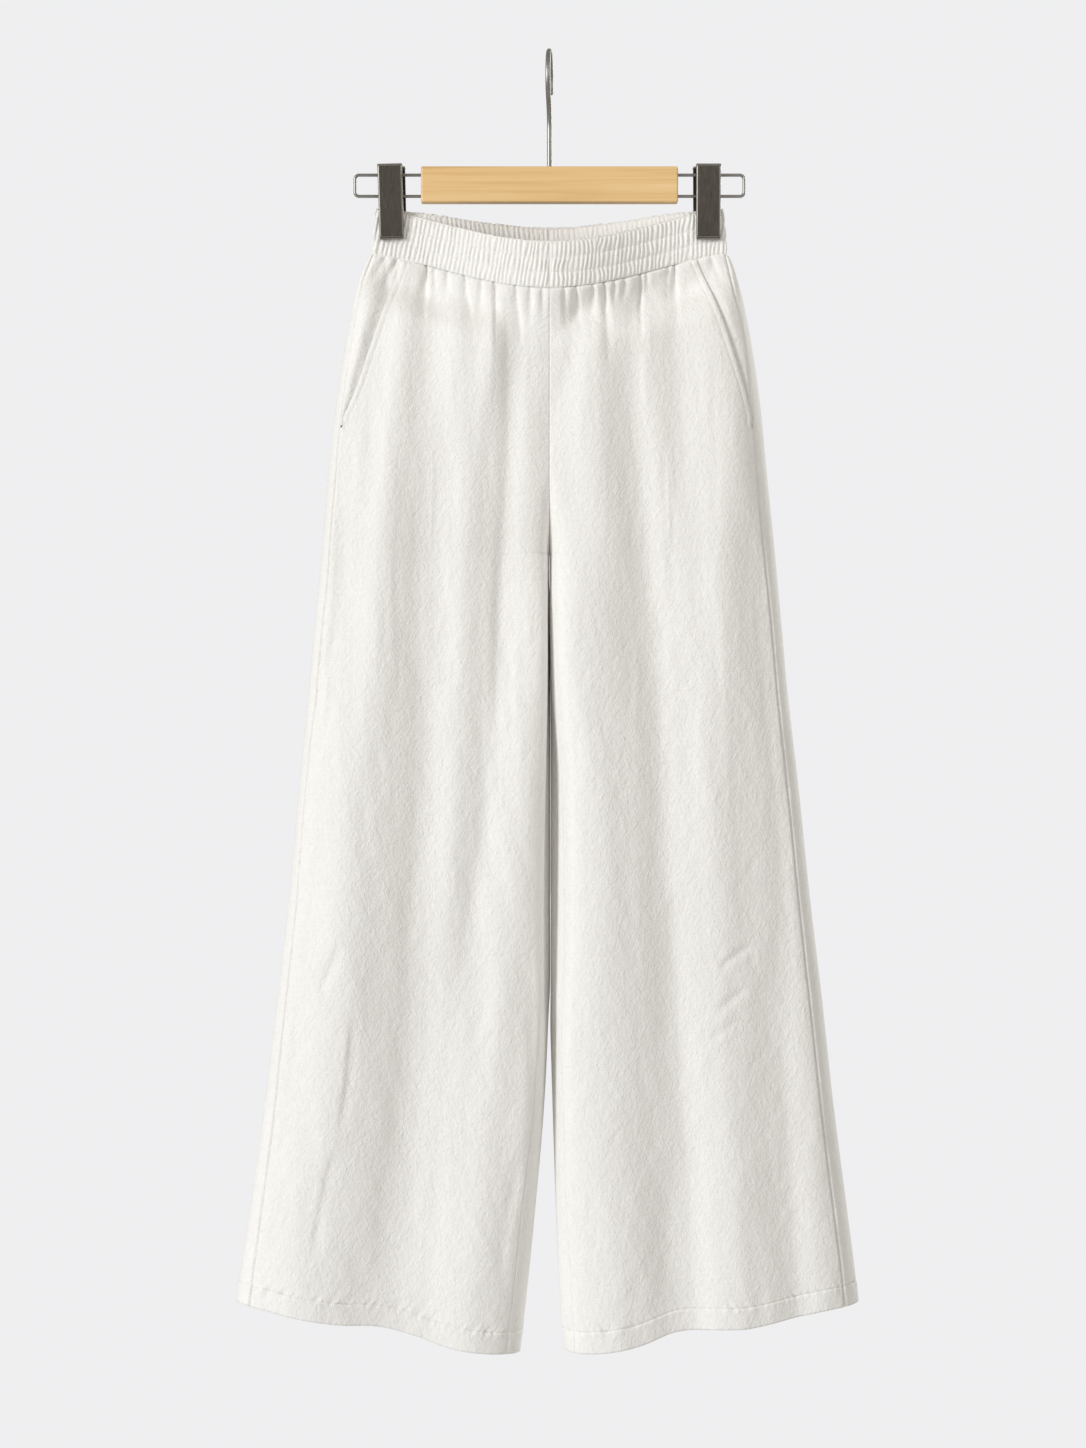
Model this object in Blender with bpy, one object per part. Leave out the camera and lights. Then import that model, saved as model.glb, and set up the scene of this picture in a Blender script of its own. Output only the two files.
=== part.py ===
"""Wide culottes with a shirred elastic waist, on a clip hanger.

Metres, +Z up, front towards -Y. The origin is the inside top of the hook, where a rail carries it.
Sizes below are in millimetres. Left and right are as seen from the front.
"""

import math

import bmesh
import bpy
import numpy as np

MM = 0.001
GAP = 0.3  # between pieces at a seam
CLOTH = 1.1  # wall of a panel
HEM_WALL = 2.3  # wall where the hem is folded up
HEM_BAND = 18.0
POCKET_WALL = 1.0

# Waist
BAND_HEIGHT = 40.0
BAND_CHANNELS = 3
BAND_TOP_HALF = 154.0  # half width at the top edge
BAND_LOW_HALF = 156.5
BAND_RIBS_FRONT = 40  # per half, centre front to side
BAND_RIBS_BACK = 36
RIB_CREST = 3.0  # wall at a rib
RIB_VALLEY = 1.9
RIB_STITCH = (2.1, 1.6)  # wall at a stitch row: rib, valley
BAND_MID = 2.4  # from the plain inside to the line that the panels follow
PINCH = 2.7  # half depth of that line where the clips grip
PINCH_FROM = 125.0
BOW = {"front": 27.3, "back": 22.3}  # how far the waist bows out at its centre
SEAM_Z = -177.0  # waist seam at the sides
SAG = {"front": 32.0, "back": 13.0}
SAG_HALF = 160.0
SAG_POWER = 0.85
BLEND_DROP = 70.0  # below the waist seam, the body is as full as its level says

# Body: a row per level. Half widths and insets are across, front and back are depths of the crown.
CROTCH_Z = -446.0
TOUCH_Z = -740.0  # the legs touch down to here
CENTRE = 0.15
LEVEL_COLUMNS = ("z", "out_l", "out_r", "in_l", "in_r", "seam_l", "seam_r", "inseam_l", "inseam_r",
                 "front", "back", "square")
LEVELS = (
    (-177, 158.0, 157.5, -157.0, -156.5, 3.0, 3.0, 0.0, 0.0, 33.0, 28.0, 2.4),
    (-186, 162.5, 161.5, -150.0, -150.0, 4.0, 5.0, 0.0, 0.0, 34.0, 29.0, 2.4),
    (-202, 168.5, 166.5, -140.0, -140.0, 4.5, 6.5, 0.0, 0.0, 36.0, 31.0, 2.5),
    (-248, 178.0, 176.5, -105.0, -105.0, 5.5, 7.5, 0.0, 0.0, 39.0, 34.0, 2.6),
    (-309, 188.0, 185.5, -62.0, -62.0, 7.0, 9.0, 0.0, 0.0, 41.0, 36.0, 2.8),
    (-371, 195.0, 191.5, -30.0, -30.0, 8.0, 9.5, 0.0, 0.0, 41.0, 37.0, 3.0),
    (-420, 199.0, 196.5, -7.0, -7.0, 8.0, 10.0, 0.0, 0.0, 40.0, 37.0, 3.0),
    (-446, 201.0, 199.0, 0.2, 0.2, 8.0, 10.0, 0.0, 0.0, 40.0, 37.0, 3.2),
    (-500, 206.5, 204.0, 0.2, 0.2, 7.5, 10.0, 0.6, 0.6, 40.0, 37.0, 3.8),
    (-556, 211.5, 209.0, 0.2, 0.2, 7.0, 10.0, 1.2, 1.2, 40.0, 37.0, 4.2),
    (-648, 220.5, 219.5, 0.2, 0.2, 7.0, 10.5, 2.4, 2.4, 41.0, 38.0, 4.0),
    (-740, 229.0, 229.0, 0.3, 0.3, 8.0, 11.0, 3.6, 3.6, 42.0, 38.0, 3.7),
    (-833, 240.0, 240.0, 0.6, 0.3, 9.0, 12.0, 5.0, 4.6, 42.0, 39.0, 3.4),
    (-925, 251.0, 250.0, 4.6, 2.6, 10.5, 12.5, 9.0, 6.5, 43.0, 40.0, 3.2),
    (-1018, 264.0, 262.0, 12.6, 5.7, 11.5, 13.0, 12.0, 8.5, 44.0, 41.0, 3.0),
    (-1097, 275.0, 271.5, 20.6, 9.4, 12.5, 13.5, 12.5, 9.5, 45.0, 42.0, 2.9),
    (-1142, 278.0, 274.0, 26.0, 13.0, 12.5, 13.5, 12.5, 9.5, 45.0, 42.0, 2.9),
)
SIDE_SQUARE = 2.3  # roundness of the outer end of a ring
HEM_COLUMNS = ("u", "left", "right")  # height of the hem from inner end (0) to outer end (1)
HEM = (
    (0.00, -1140.0, -1138.0),
    (0.10, -1138.5, -1137.5),
    (0.25, -1133.0, -1131.0),
    (0.38, -1122.5, -1119.5),
    (0.50, -1115.0, -1117.0),
    (0.62, -1113.0, -1115.5),
    (0.75, -1108.5, -1109.0),
    (0.88, -1101.8, -1101.8),
    (1.00, -1096.5, -1096.8),
)

# Slant pocket: distance of the opening edge from the middle at the waist seam and where it meets the side seam
SLANT_COLUMNS = ("z", "left", "right")
SLANT = (
    (-180, 130.0, 130.0),
    (-220, 143.5, 145.5),
    (-262, 157.5, 160.0),
    (-300, 170.5, 171.5),
    (-322, 180.3, 176.8),
)
SLANT_END = -330.0
BAG_COLUMNS = 9  # the bag runs behind this many columns of the front
BAG_BEHIND = 1.4  # from the face of the front to the face of the piece behind it
BAG_STEP = 1.3
HIP_COLUMNS = 4  # in the part that shows

# Long soft folds: x along the fold and its depth at each fold level, and its reach to the left and right
FOLD_LEVELS = (-215, -330, -480, -650, -830, -1080)
FOLD_COLUMNS = ("x", "depth", "left", "right")
FOLDS = {
    "front": (  # a depth below nothing is a swell
        ((-154, -172, -183, -193, -216, -244), (4.0, 3.3, 4.6, 1.3, 3.2, 3.2), 6, 14),
        ((-140, -153, -164, -165, -156, -196), (9.5, 8.5, 5.1, 2.9, 2.7, 0.9), 17, 20),
        ((-136, -144, -159, -166, -165, -172), (-4.2, -4.3, -2.6, -3.0, -0.6, 2.3), 43, 16),
        ((-104, -119, -118, -121, -130, -156), (8.4, 7.7, 9.5, 9.5, 9.5, 9.5), 27, 20),
        ((-101, -99, -96, -100, -109, -133), (3.4, 9.4, 9.5, 9.5, 9.5, 8.8), 20, 19),
        ((-65, -72, -81, -29, -29, -61), (9.0, 7.9, 1.2, 1.1, 6.2, 1.7), 27, 20),
        ((-44, -63, -70, -76, -59, -63), (-2.0, -1.9, 0.5, 0.9, 1.0, 0.0), 16, 12),
        ((-20, -40, -58, -60, -87, -111), (7.7, 9.4, 9.5, 9.3, 9.5, 9.5), 27, 20),
        ((-35, -35, -42, -44, -12, -9), (3.6, 2.4, 3.7, 0.1, 1.2, 9.3), 8, 11),
        ((3, -15, -29, -38, -64, -90), (7.1, 5.8, 9.0, 5.9, 9.3, 5.3), 23, 20),
        ((30, 13, 8, 16, 13, 24), (0.2, 2.4, -4.3, -4.5, -4.8, -4.7), 15, 41),
        ((26, 11, 57, 68, 80, 98), (7.7, 6.2, 0.6, 4.5, 4.8, 5.5), 27, 20),
        ((52, 62, 74, 69, 81, 103), (2.9, 2.8, -0.6, -4.2, -3.4, 1.2), 42, 20),
        ((73, 73, 83, 95, 106, 123), (9.5, 9.5, 9.5, 7.5, 9.5, 9.5), 27, 18),
        ((104, 99, 110, 121, 134, 150), (9.0, 9.5, 9.5, 7.2, 6.5, 7.2), 27, 20),
        ((120, 121, 137, 153, 167, 183), (4.6, 8.4, 7.0, 4.8, 3.5, 6.4), 20, 20),
        ((133, 142, 143, 153, 158, 187), (-1.0, 2.8, -2.7, -2.8, 0.1, -2.7), 36, 15),
        ((137, 153, 181, 191, 199, 215), (4.5, 1.8, 4.4, 5.4, 8.6, 9.0), 27, 20),
    ),
    "back": (
        ((-118, -122, -134, -150, -160, -170), (4.0, 5.0, 6.0, 7.0, 7.0, 6.0), 22, 13),
        ((-50, -58, -66, -78, -92, -104), (5.0, 7.0, 8.0, 9.0, 8.0, 6.0), 14, 22),
        ((-24, -26, -28, -34, -40, -50), (2.0, 3.0, 3.0, 4.0, 4.0, 4.0), 10, 12),
        ((-160, -168, -182, -196, -206, -222), (0.0, 1.0, 3.0, 4.0, 5.0, 6.0), 16, 12),
        ((38, 46, 56, 66, 78, 92), (5.0, 6.0, 8.0, 9.0, 8.0, 6.0), 20, 12),
        ((96, 104, 118, 130, 144, 160), (4.0, 6.0, 7.0, 7.0, 7.0, 6.0), 12, 22),
        ((150, 162, 176, 190, 204, 220), (0.0, 1.5, 3.0, 4.0, 5.0, 6.0), 14, 14),
    ),
}

# Gathers below the waist seam: x at the seam, x at the lower end, depth, length, half width
GATHER_COLUMNS = ("x", "x_low", "depth", "length", "width")
GATHERS = {
    "front": (
        (-6, -8, 1.6, 60, 4), (-18, -19, 2.4, 80, 4), (-30, -30, 2.2, 70, 4), (-48, -41, 3.4, 120, 6),
        (-73, -69, 3.2, 130, 5), (-88, -86, 2.0, 60, 4), (-109, -111, 3.4, 120, 6), (-121, -122, 1.6, 50, 4),
        (-138, -150, 2.2, 70, 4), (12, 12, 2.0, 60, 4), (24, 26, 2.6, 80, 4), (38, 40, 2.2, 70, 4),
        (48, 55, 3.6, 130, 6), (66, 66, 2.0, 60, 4), (80, 81, 3.2, 110, 5), (94, 95, 1.8, 60, 4),
        (107, 110, 3.4, 120, 6), (140, 148, 2.2, 70, 4),
    ),
    "back": (
        (-12, -12, 2.4, 80, 6), (-32, -34, 3.2, 110, 6), (-52, -54, 3.4, 130, 6), (-73, -76, 2.6, 90, 6),
        (-93, -98, 3.2, 120, 6), (-114, -120, 2.6, 90, 6), (-136, -146, 2.0, 70, 6), (10, 10, 2.6, 90, 6),
        (30, 31, 2.8, 100, 6), (50, 54, 3.4, 130, 6), (71, 74, 2.6, 80, 6), (92, 97, 3.4, 120, 6),
        (113, 119, 2.4, 90, 6), (136, 145, 2.0, 70, 6),
    ),
}
HELD_APART = 2.6  # half depth that folds leave between front and back
GATHER_START = 7.0  # drop at which a gather is at its deepest
HELD_DROP = 12.0  # drop over which the band holds the folds shallow

# Grid: rows run 0 at the waist seam, 1 at the crotch, 2 at the hem
ROWS_ABOVE = (0.0, 0.035, 0.08, 0.15, 0.25, 0.36, 0.47, 0.57, 0.72, 0.87, 1.0)
ROWS_BELOW = (1.07, 1.2, 1.34, 1.48, 1.62, 1.76, 1.88)
# Each front and back is made as three solids, one above another, so that their collision hulls leave the legs open
PANEL_PARTS = (("hip", 0.0, 1.0), ("thigh", 1.0, 1.48), ("calf", 1.48, 2.0))
LEG_HEIGHT = 670.0
FRONT_COLUMNS = 29
BACK_COLUMNS = 27
SIDES = {"left": -1, "right": 1}

# Hanger
BAR = (226.0, 14.0, 31.7)
BAR_Z = -115.75
BAR_EDGE = 1.6
WIRE_R = 1.4
WIRE_Z = (-106.8, -125.5)
WIRE_END = 171.2
WIRE_BEND = 3.6
WIRE_IN = 18.0  # length of a wire inside the bar
HOOK_R = 2.2
HOOK_RING = 24.2  # radius of the wire's middle line
HOOK_TURN = 3.5  # degrees about the stem
HOOK_TIP = -20.0  # degrees, behind the rail
HOOK_NECK = 232.0
STEM_IN = 18.0
CLIP_X = {"left": -139.4, "right": 139.6}
CLIP_LEAN = {"left": 1.5, "right": 0.0}
CLIP_WIDTH = {"front": 21.6, "back": 23.6}
CLIP_TOP = -98.5
CLIP_LOW = -164.0
CLIP_DEPTH = (13.0, 6.6)  # of the outside of a jaw at its top and at its grip
CLIP_SKIN = 1.2
CLIP_INSIDE = 3.6
CORE = (15.6, 17.0, 31.0)
CORE_Z = -116.5

COLOURS = {
    "cloth": ((0.86, 0.85, 0.82), 0.7, 0.0),
    "wood": ((0.80, 0.56, 0.28), 0.45, 0.0),
    "wire": ((0.55, 0.53, 0.50), 0.3, 1.0),
    "clip": ((0.14, 0.13, 0.115), 0.42, 0.8),
    "core": ((0.05, 0.05, 0.05), 0.5, 0.2),
}


def clear_scene():
    for obj in list(bpy.data.objects):
        bpy.data.objects.remove(obj, do_unlink=True)


def material(kind):
    found = bpy.data.materials.get(kind)
    if found:
        return found
    made = bpy.data.materials.new(kind)
    made.use_nodes = True
    shader = made.node_tree.nodes["Principled BSDF"]
    colour, roughness, metallic = COLOURS[kind]
    shader.inputs["Base Color"].default_value = (*colour, 1.0)
    shader.inputs["Roughness"].default_value = roughness
    shader.inputs["Metallic"].default_value = metallic
    made.diffuse_color = (*colour, 1.0)
    return made


def add_object(name, points, faces, kind, smooth=True):
    mesh = bpy.data.meshes.new(name)
    mesh.from_pydata([tuple(np.asarray(p) * MM) for p in points], [], faces)
    work = bmesh.new()
    work.from_mesh(mesh)
    bmesh.ops.recalc_face_normals(work, faces=work.faces)
    work.to_mesh(mesh)
    work.free()
    for face in mesh.polygons:
        face.use_smooth = smooth
    obj = bpy.data.objects.new(name, mesh)
    obj.data.materials.append(material(kind))
    bpy.context.scene.collection.objects.link(obj)
    return obj


# ---- plan of the body ----


def smooth_step(t):
    t = np.clip(t, 0.0, 1.0)
    return t * t * (3.0 - 2.0 * t)


def through(xs, ys, x):
    """A smooth curve through the points of a table, with slopes taken from its neighbours."""
    xs = np.asarray(xs, float)
    ys = np.asarray(ys, float)
    slopes = np.gradient(ys, xs)
    x = np.clip(x, xs[0], xs[-1])
    i = np.clip(np.searchsorted(xs, x) - 1, 0, len(xs) - 2)
    h = xs[i + 1] - xs[i]
    t = (x - xs[i]) / h
    return ((1 + 2 * t) * (1 - t) ** 2 * ys[i] + t * (1 - t) ** 2 * h * slopes[i]
            + t * t * (3 - 2 * t) * ys[i + 1] + t * t * (t - 1) * h * slopes[i + 1])


def level(name, z):
    table = np.array(LEVELS, float)
    return through(-table[:, 0], table[:, LEVEL_COLUMNS.index(name)], -np.asarray(z, float))


def sag(a, layer):
    return SAG[layer] * np.cos(math.pi / 2 * np.clip(a / SAG_HALF, 0, 1)) ** (2 * SAG_POWER)


def waist_depth(a, out, layer):
    """Depth of the middle line of the waist at distance a from the centre: bowed, pinched by the clips, closed."""
    bow = PINCH + BOW[layer] * np.cos(math.pi / 2 * np.clip(a / PINCH_FROM, 0, 1)) ** 2
    near_end = np.clip(a - (out - PINCH), 0, PINCH)
    return np.where(near_end > 0, np.sqrt(np.maximum(PINCH ** 2 - near_end ** 2, 0)), bow)


def row_height(side, row, a, u, layer):
    top = SEAM_Z - GAP / 2 - sag(a, layer)
    table = np.array(HEM)
    hem = through(table[:, 0], table[:, HEM_COLUMNS.index(side)], np.clip(u, 0, 1))
    if row <= 1:
        return top + row * (CROTCH_Z - top), top
    return CROTCH_Z + (row - 1) * (hem - CROTCH_Z), top


def fold_shift(x, z, drop, layer):
    """How far folds and gathers draw the cloth in."""
    total = np.zeros_like(x)
    heights = -np.array(FOLD_LEVELS, float)
    for xs, depths, left, right in FOLDS[layer]:
        d = x - through(heights, xs, -z)
        reach = np.where(d < 0, left, right)
        total += through(heights, depths, -z) * np.exp(-((d / reach) ** 2))
    total = total * (0.2 + 0.8 * smooth_step(drop / HELD_DROP))
    for x_top, x_low, depth, length, width in GATHERS[layer]:
        run = np.clip(drop / length, 0, 1)
        d = x - (x_top + (x_low - x_top) * run)
        grow = smooth_step(drop / GATHER_START) * 0.85 + 0.15
        total += depth * grow * (1 - smooth_step(run)) * np.exp(-((d / (width * (1 + 0.8 * run))) ** 2))
    return total


def plan(side, f, z, drop):
    """Plan point at ring place f: 0 inner front seam, 1 front crown, 2 outer edge, 3 back crown, 4 inner seam."""
    s = side[0]
    out = level("out_" + s, z)
    inner = level("in_" + s, z)
    inner = np.where(z > TOUCH_Z, np.minimum(inner, 0.2), inner)
    inner = np.where(z <= CROTCH_Z, np.maximum(inner, 0.2), inner)
    crown = (out + inner) / 2
    square = level("square", z)
    inset = level("inseam_" + s, z)
    below = z <= CROTCH_Z + 1e-6
    edge = np.where(below, inner + np.maximum(inset, 0), np.maximum(inner, CENTRE))
    start = np.arcsin(np.clip((crown - edge) / (crown - inner), 0, 1) ** (square / 2))
    end = np.where(below, math.pi - start, start)
    angle = np.where(f < 1, start * (1 - f), 0.0)
    angle = np.where((f >= 1) & (f < 2), (f - 1) * math.pi / 2, angle)
    angle = np.where((f >= 2) & (f < 3), (3 - f) * math.pi / 2, angle)
    angle = np.where(f >= 3, (f - 3) * end, angle)
    at_side = (f >= 1) & (f < 3)
    power = 2 / np.where(at_side, SIDE_SQUARE, square)
    across = np.abs(np.sin(angle)) ** power
    a = np.where(at_side, crown + (out - crown) * across, crown - (crown - inner) * across)
    deep = np.abs(np.cos(angle)) ** power
    is_front = (f < 2) | ((f >= 3) & (angle > math.pi / 2))
    full = deep * np.where(is_front, level("front", z), level("back", z))
    held = np.where(is_front, waist_depth(a, out, "front"), waist_depth(a, out, "back"))
    hang = smooth_step(drop / BLEND_DROP)
    depth = held + (full - held) * hang
    x = a * SIDES[side]
    room = smooth_step(np.minimum(out - a, 25) / 25)
    off_inseam = smooth_step((a - inner + 2) / 16)
    room = room * (1 - smooth_step((CROTCH_Z - z) / 60) * (1 - off_inseam))
    shift = np.where(is_front, fold_shift(x, z, drop, "front"), fold_shift(x, z, drop, "back"))
    most = np.maximum(depth - HELD_APART, 0.05)
    shift = shift * room
    depth = depth - shift / (1 + (shift / most) ** 4) ** 0.25
    return a, np.where(is_front, -depth, depth)


RING_PLACES = np.concatenate([
    np.linspace(0, 1, 60, endpoint=False),
    1 + np.linspace(0, 1, 120, endpoint=False),
    2 + np.linspace(0, 1, 120, endpoint=False),
    np.linspace(3, 4, 90),
])


def ring(side, row):
    """Dense ring of one half of the body: points, outward directions, length so far and distance from the middle."""
    f = RING_PLACES
    z = np.full(f.shape, SEAM_Z + row * (CROTCH_Z - SEAM_Z) if row <= 1 else CROTCH_Z - (row - 1) * LEG_HEIGHT)
    drop = SEAM_Z - z
    s = side[0]
    for _ in range(3):
        a, _y = plan(side, f, z, np.maximum(drop, 0))
        inner, outer = level("in_" + s, z), level("out_" + s, z)
        u = (a - np.maximum(inner, 0)) / (outer - np.maximum(inner, 0))
        z_front, top_front = row_height(side, row, a, u, "front")
        z_back, top_back = row_height(side, row, a, u, "back")
        z = np.where(f < 2, z_front, z_back)
        drop = np.where(f < 2, top_front, top_back) - z
    a, y = plan(side, f, z, drop)
    points = np.stack([a * SIDES[side], y, z], axis=1)
    step = np.gradient(points[:, :2], axis=0)
    step /= np.maximum(np.linalg.norm(step, axis=1), 1e-9)[:, None]
    outward = SIDES[side] * np.stack([step[:, 1], -step[:, 0]], axis=1)
    length = np.concatenate([[0], np.cumsum(np.linalg.norm(np.diff(points[:, :2], axis=0), axis=1))])
    return points, outward, length, a


def place_of(target, ring_row):
    """Length along a ring's front at which it is this far from the middle."""
    _points, _outward, length, a = ring_row
    front = RING_PLACES < 2
    return float(np.interp(target, a[front], length[front]))


def side_seam(side, ring_row):
    points = ring_row[0]
    edge = int(np.argmin(np.abs(RING_PLACES - 2)))
    z = points[edge, 2]
    return place_of(level("out_" + side[0], z) - level("seam_" + side[0], z), ring_row)


def slant(side, ring_row):
    """Length at the pocket edge, or None below the pocket."""
    points = ring_row[0]
    edge = int(np.argmin(np.abs(RING_PLACES - 2)))
    z = points[edge, 2]
    if z < SLANT_END:
        return None
    table = np.array(SLANT, float)
    return place_of(through(-table[:, 0], table[:, SLANT_COLUMNS.index(side)], -z), ring_row)


def spread(count, start, end, near_start=0.0, near_end=0.0):
    """Places from start to end, closer together near an end that asks for it."""
    t = np.linspace(0, 1, 400)
    density = 1 + near_start * np.exp(-((t / 0.1) ** 2)) + near_end * np.exp(-(((1 - t) / 0.1) ** 2))
    total = np.concatenate([[0], np.cumsum((density[1:] + density[:-1]) / 2)])
    return start + (end - start) * np.interp(np.linspace(0, total[-1], count), total, t)


def sample(ring_row, lengths, inset):
    """Points of a ring at these lengths, moved in by inset."""
    points, outward, length, _a = ring_row
    at = np.stack([np.interp(lengths, length, points[:, k]) for k in range(3)], axis=1)
    way = np.stack([np.interp(lengths, length, outward[:, k]) for k in range(2)], axis=1)
    way /= np.linalg.norm(way, axis=1)[:, None]
    at[:, :2] -= way * np.asarray(inset, float).reshape(-1, 1)
    return at


def wall(name, outside, inside, kind="cloth"):
    """A closed sheet from two grids of points, outside and inside, with the same rows and columns."""
    rows, columns, _ = outside.shape
    count = rows * columns
    points = np.concatenate([outside.reshape(-1, 3), inside.reshape(-1, 3)])
    faces = []
    for r in range(rows - 1):
        for c in range(columns - 1):
            i = r * columns + c
            faces.append((i, i + 1, i + columns + 1, i + columns))
            faces.append((count + i, count + i + columns, count + i + columns + 1, count + i + 1))
    rim = [(0, c) for c in range(columns)]
    rim += [(r, columns - 1) for r in range(1, rows)]
    rim += [(rows - 1, c) for c in range(columns - 2, -1, -1)]
    rim += [(r, 0) for r in range(rows - 2, 0, -1)]
    rim = [r * columns + c for r, c in rim]
    for i, j in zip(rim, rim[1:] + rim[:1]):
        faces.append((i, count + i, count + j, j))
    return add_object(name, points, faces, kind)


def body_rows():
    """Rows of a panel with the wall at each: the hem is the wall folded up."""
    rows = [(row, CLOTH) for row in ROWS_ABOVE + ROWS_BELOW]
    band = HEM_BAND / LEG_HEIGHT
    return rows + [(2 - band - 0.002, CLOTH), (2 - band, HEM_WALL), (2.0, HEM_WALL)]


def part_rows(start, end):
    """Rows of one solid of a panel, from just below the solid above it."""
    first = [(start + GAP / LEG_HEIGHT, CLOTH)] if start else []
    return first + [(row, thick) for row, thick in body_rows() if (row > start or not start) and row <= end]


def front_places(side, row, ring_row):
    """Lengths of the columns of a front along a row: to the pocket edge, and below it to the side seam."""
    edge = slant(side, ring_row) if row < 1 else None
    if edge is None:
        edge = side_seam(side, ring_row)
    return spread(FRONT_COLUMNS, GAP / 2, edge - GAP / 2, 0.9 if row >= 0.87 else 0.0)


def back_places(side, row, ring_row):
    start = side_seam(side, ring_row) + GAP / 2
    end = ring_row[2][-1] - GAP / 2
    return spread(BACK_COLUMNS, start, end, 2.2, 2.0 * smooth_step((row - 0.87) / 0.4))


def build_panel(name, side, rings, places):
    for part, start, end in PANEL_PARTS:
        outside, inside = [], []
        for row, thick in part_rows(start, end):
            at = places(side, row, rings[row])
            outside.append(sample(rings[row], at, np.zeros(len(at))))
            inside.append(sample(rings[row], at, np.full(len(at), thick)))
        wall(f"{name}_{side}_{part}", np.array(outside), np.array(inside))


def build_pocket(side, rings):
    """The hip piece with the back of the bag, and the front of the bag behind the front panel."""
    back_out, back_in, front_out, front_in = [], [], [], []
    for row in ROWS_ABOVE:
        seam = side_seam(side, rings[row]) - GAP / 2
        hidden = front_places(side, row, rings[row])[-BAG_COLUMNS:]
        edge = hidden[-1]
        below = seam - edge < 4
        if below:
            hidden[-1] -= 3.0
            shown = np.linspace(hidden[-1] + 0.7, seam - 0.3, HIP_COLUMNS)
        else:
            shown = np.linspace(edge, seam, HIP_COLUMNS + 1)[1:]
        at = np.concatenate([hidden, shown])
        deeper = BAG_STEP * smooth_step((row - 0.05) / 0.1)
        bare = smooth_step((at - edge) / max(seam - edge, 14.0))
        behind = (BAG_BEHIND + deeper * (1 - smooth_step((at - edge) / 10))) * (1 - bare)
        back_out.append(sample(rings[row], at, behind))
        back_in.append(sample(rings[row], at, behind + POCKET_WALL))
        if deeper >= BAG_STEP:
            front_out.append(sample(rings[row], hidden[:-1], np.full(BAG_COLUMNS - 1, BAG_BEHIND)))
            front_in.append(sample(rings[row], hidden[:-1], np.full(BAG_COLUMNS - 1, BAG_BEHIND + POCKET_WALL)))
    wall("pocket_back_" + side, np.array(back_out), np.array(back_in))
    wall("pocket_front_" + side, np.array(front_out), np.array(front_in))


# ---- waistband ----


def band_line(half, layer):
    """Middle line of a quarter of the waistband in plan, from the centre to the tip of its side."""
    a = np.concatenate([np.linspace(CENTRE, half - PINCH, 300), half - PINCH + PINCH * np.sin(
        np.linspace(0, math.pi / 2, 24)[1:])])
    depth = waist_depth(a, half, layer)
    return np.stack([a, -depth if layer == "front" else depth], axis=1)


def band_ring(side, share):
    """Whole middle line of a half, centre front round to centre back, at a share of the height from the top."""
    half = BAND_TOP_HALF + (BAND_LOW_HALF - BAND_TOP_HALF) * share
    line = np.concatenate([band_line(half, "front"), band_line(half, "back")[::-1][1:]])
    split = len(band_line(half, "front")) - 1
    step = np.gradient(line, axis=0)
    step /= np.linalg.norm(step, axis=1)[:, None]
    outward = np.stack([step[:, 1], -step[:, 0]], axis=1)
    outward[0] = (0, -1)
    outward[-1] = (0, 1)
    length = np.concatenate([[0], np.cumsum(np.linalg.norm(np.diff(line, axis=0), axis=1))])
    return line, outward, length, split


def band_points(side, share, count_front, count_back, walls):
    line, outward, length, split = band_ring(side, share)
    at = np.concatenate([
        np.linspace(0, length[split], count_front + 1),
        np.linspace(length[split], length[-1], count_back + 1)[1:],
    ])
    sway = 0.35 * np.sin(1.7 * np.arange(len(at))) + 0.25 * np.sin(0.61 * np.arange(len(at)) + 4 * share)
    sway[[0, -1]] = 0
    at = at + sway * (walls is not None)
    across = np.interp(at, length, line[:, 0])
    depth = np.interp(at, length, line[:, 1])
    way = np.stack([np.interp(at, length, outward[:, k]) for k in range(2)], axis=1)
    way /= np.linalg.norm(way, axis=1)[:, None]
    offset = -BAND_MID if walls is None else (walls - BAND_MID)
    across_to = np.maximum(across + way[:, 0] * offset, CENTRE)
    depth_to = depth + way[:, 1] * offset
    drop = np.where(at < length[split], sag(across, "front"), sag(across, "back"))
    z = SEAM_Z + GAP / 2 + BAND_HEIGHT * (1 - share) - drop
    return np.stack([across_to * SIDES[side], depth_to, z], axis=1)


def build_band(side):
    rows = []
    shares = np.linspace(0, 1, 2 * BAND_CHANNELS + 1)
    count_front, count_back = 2 * BAND_RIBS_FRONT, 2 * BAND_RIBS_BACK
    for k, share in enumerate(shares):
        ribs = np.arange(count_front + count_back + 1) % 2
        crest, valley = (RIB_CREST, RIB_VALLEY) if k % 2 else RIB_STITCH
        walls = np.where(ribs == 1, crest, valley)
        walls[[0, -1]] = RIB_VALLEY
        rows.append(band_points(side, share, count_front, count_back, walls.astype(float)))
    every = 8
    inner = [band_points(side, share, count_front // every, count_back // every, None) for share in (0.0, 1.0)]
    columns = len(rows[0])
    points = np.concatenate(rows + inner)
    faces = []
    for r in range(len(rows) - 1):
        for c in range(columns - 1):
            i = r * columns + c
            faces.append((i, i + 1, i + columns + 1, i + columns))
    top_in = len(rows) * columns
    few = len(inner[0])
    low = (len(rows) - 1) * columns
    for c in range(few - 1):
        i, j = top_in + c, top_in + few + c
        faces.append((i, j, j + 1, i + 1))
        for outer, inside in ((0, i), (low, j)):
            for k in range(every):
                o = outer + c * every + k
                faces.append((inside, o, o + 1))
            faces.append((inside, outer + (c + 1) * every, inside + 1))
    for c, d in ((0, 0), (columns - 1, few - 1)):
        faces.append([top_in + d] + [r * columns + c for r in range(len(rows))] + [top_in + few + d])
    add_object("waistband_" + side, points, faces, "cloth")


# ---- hanger ----


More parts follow.
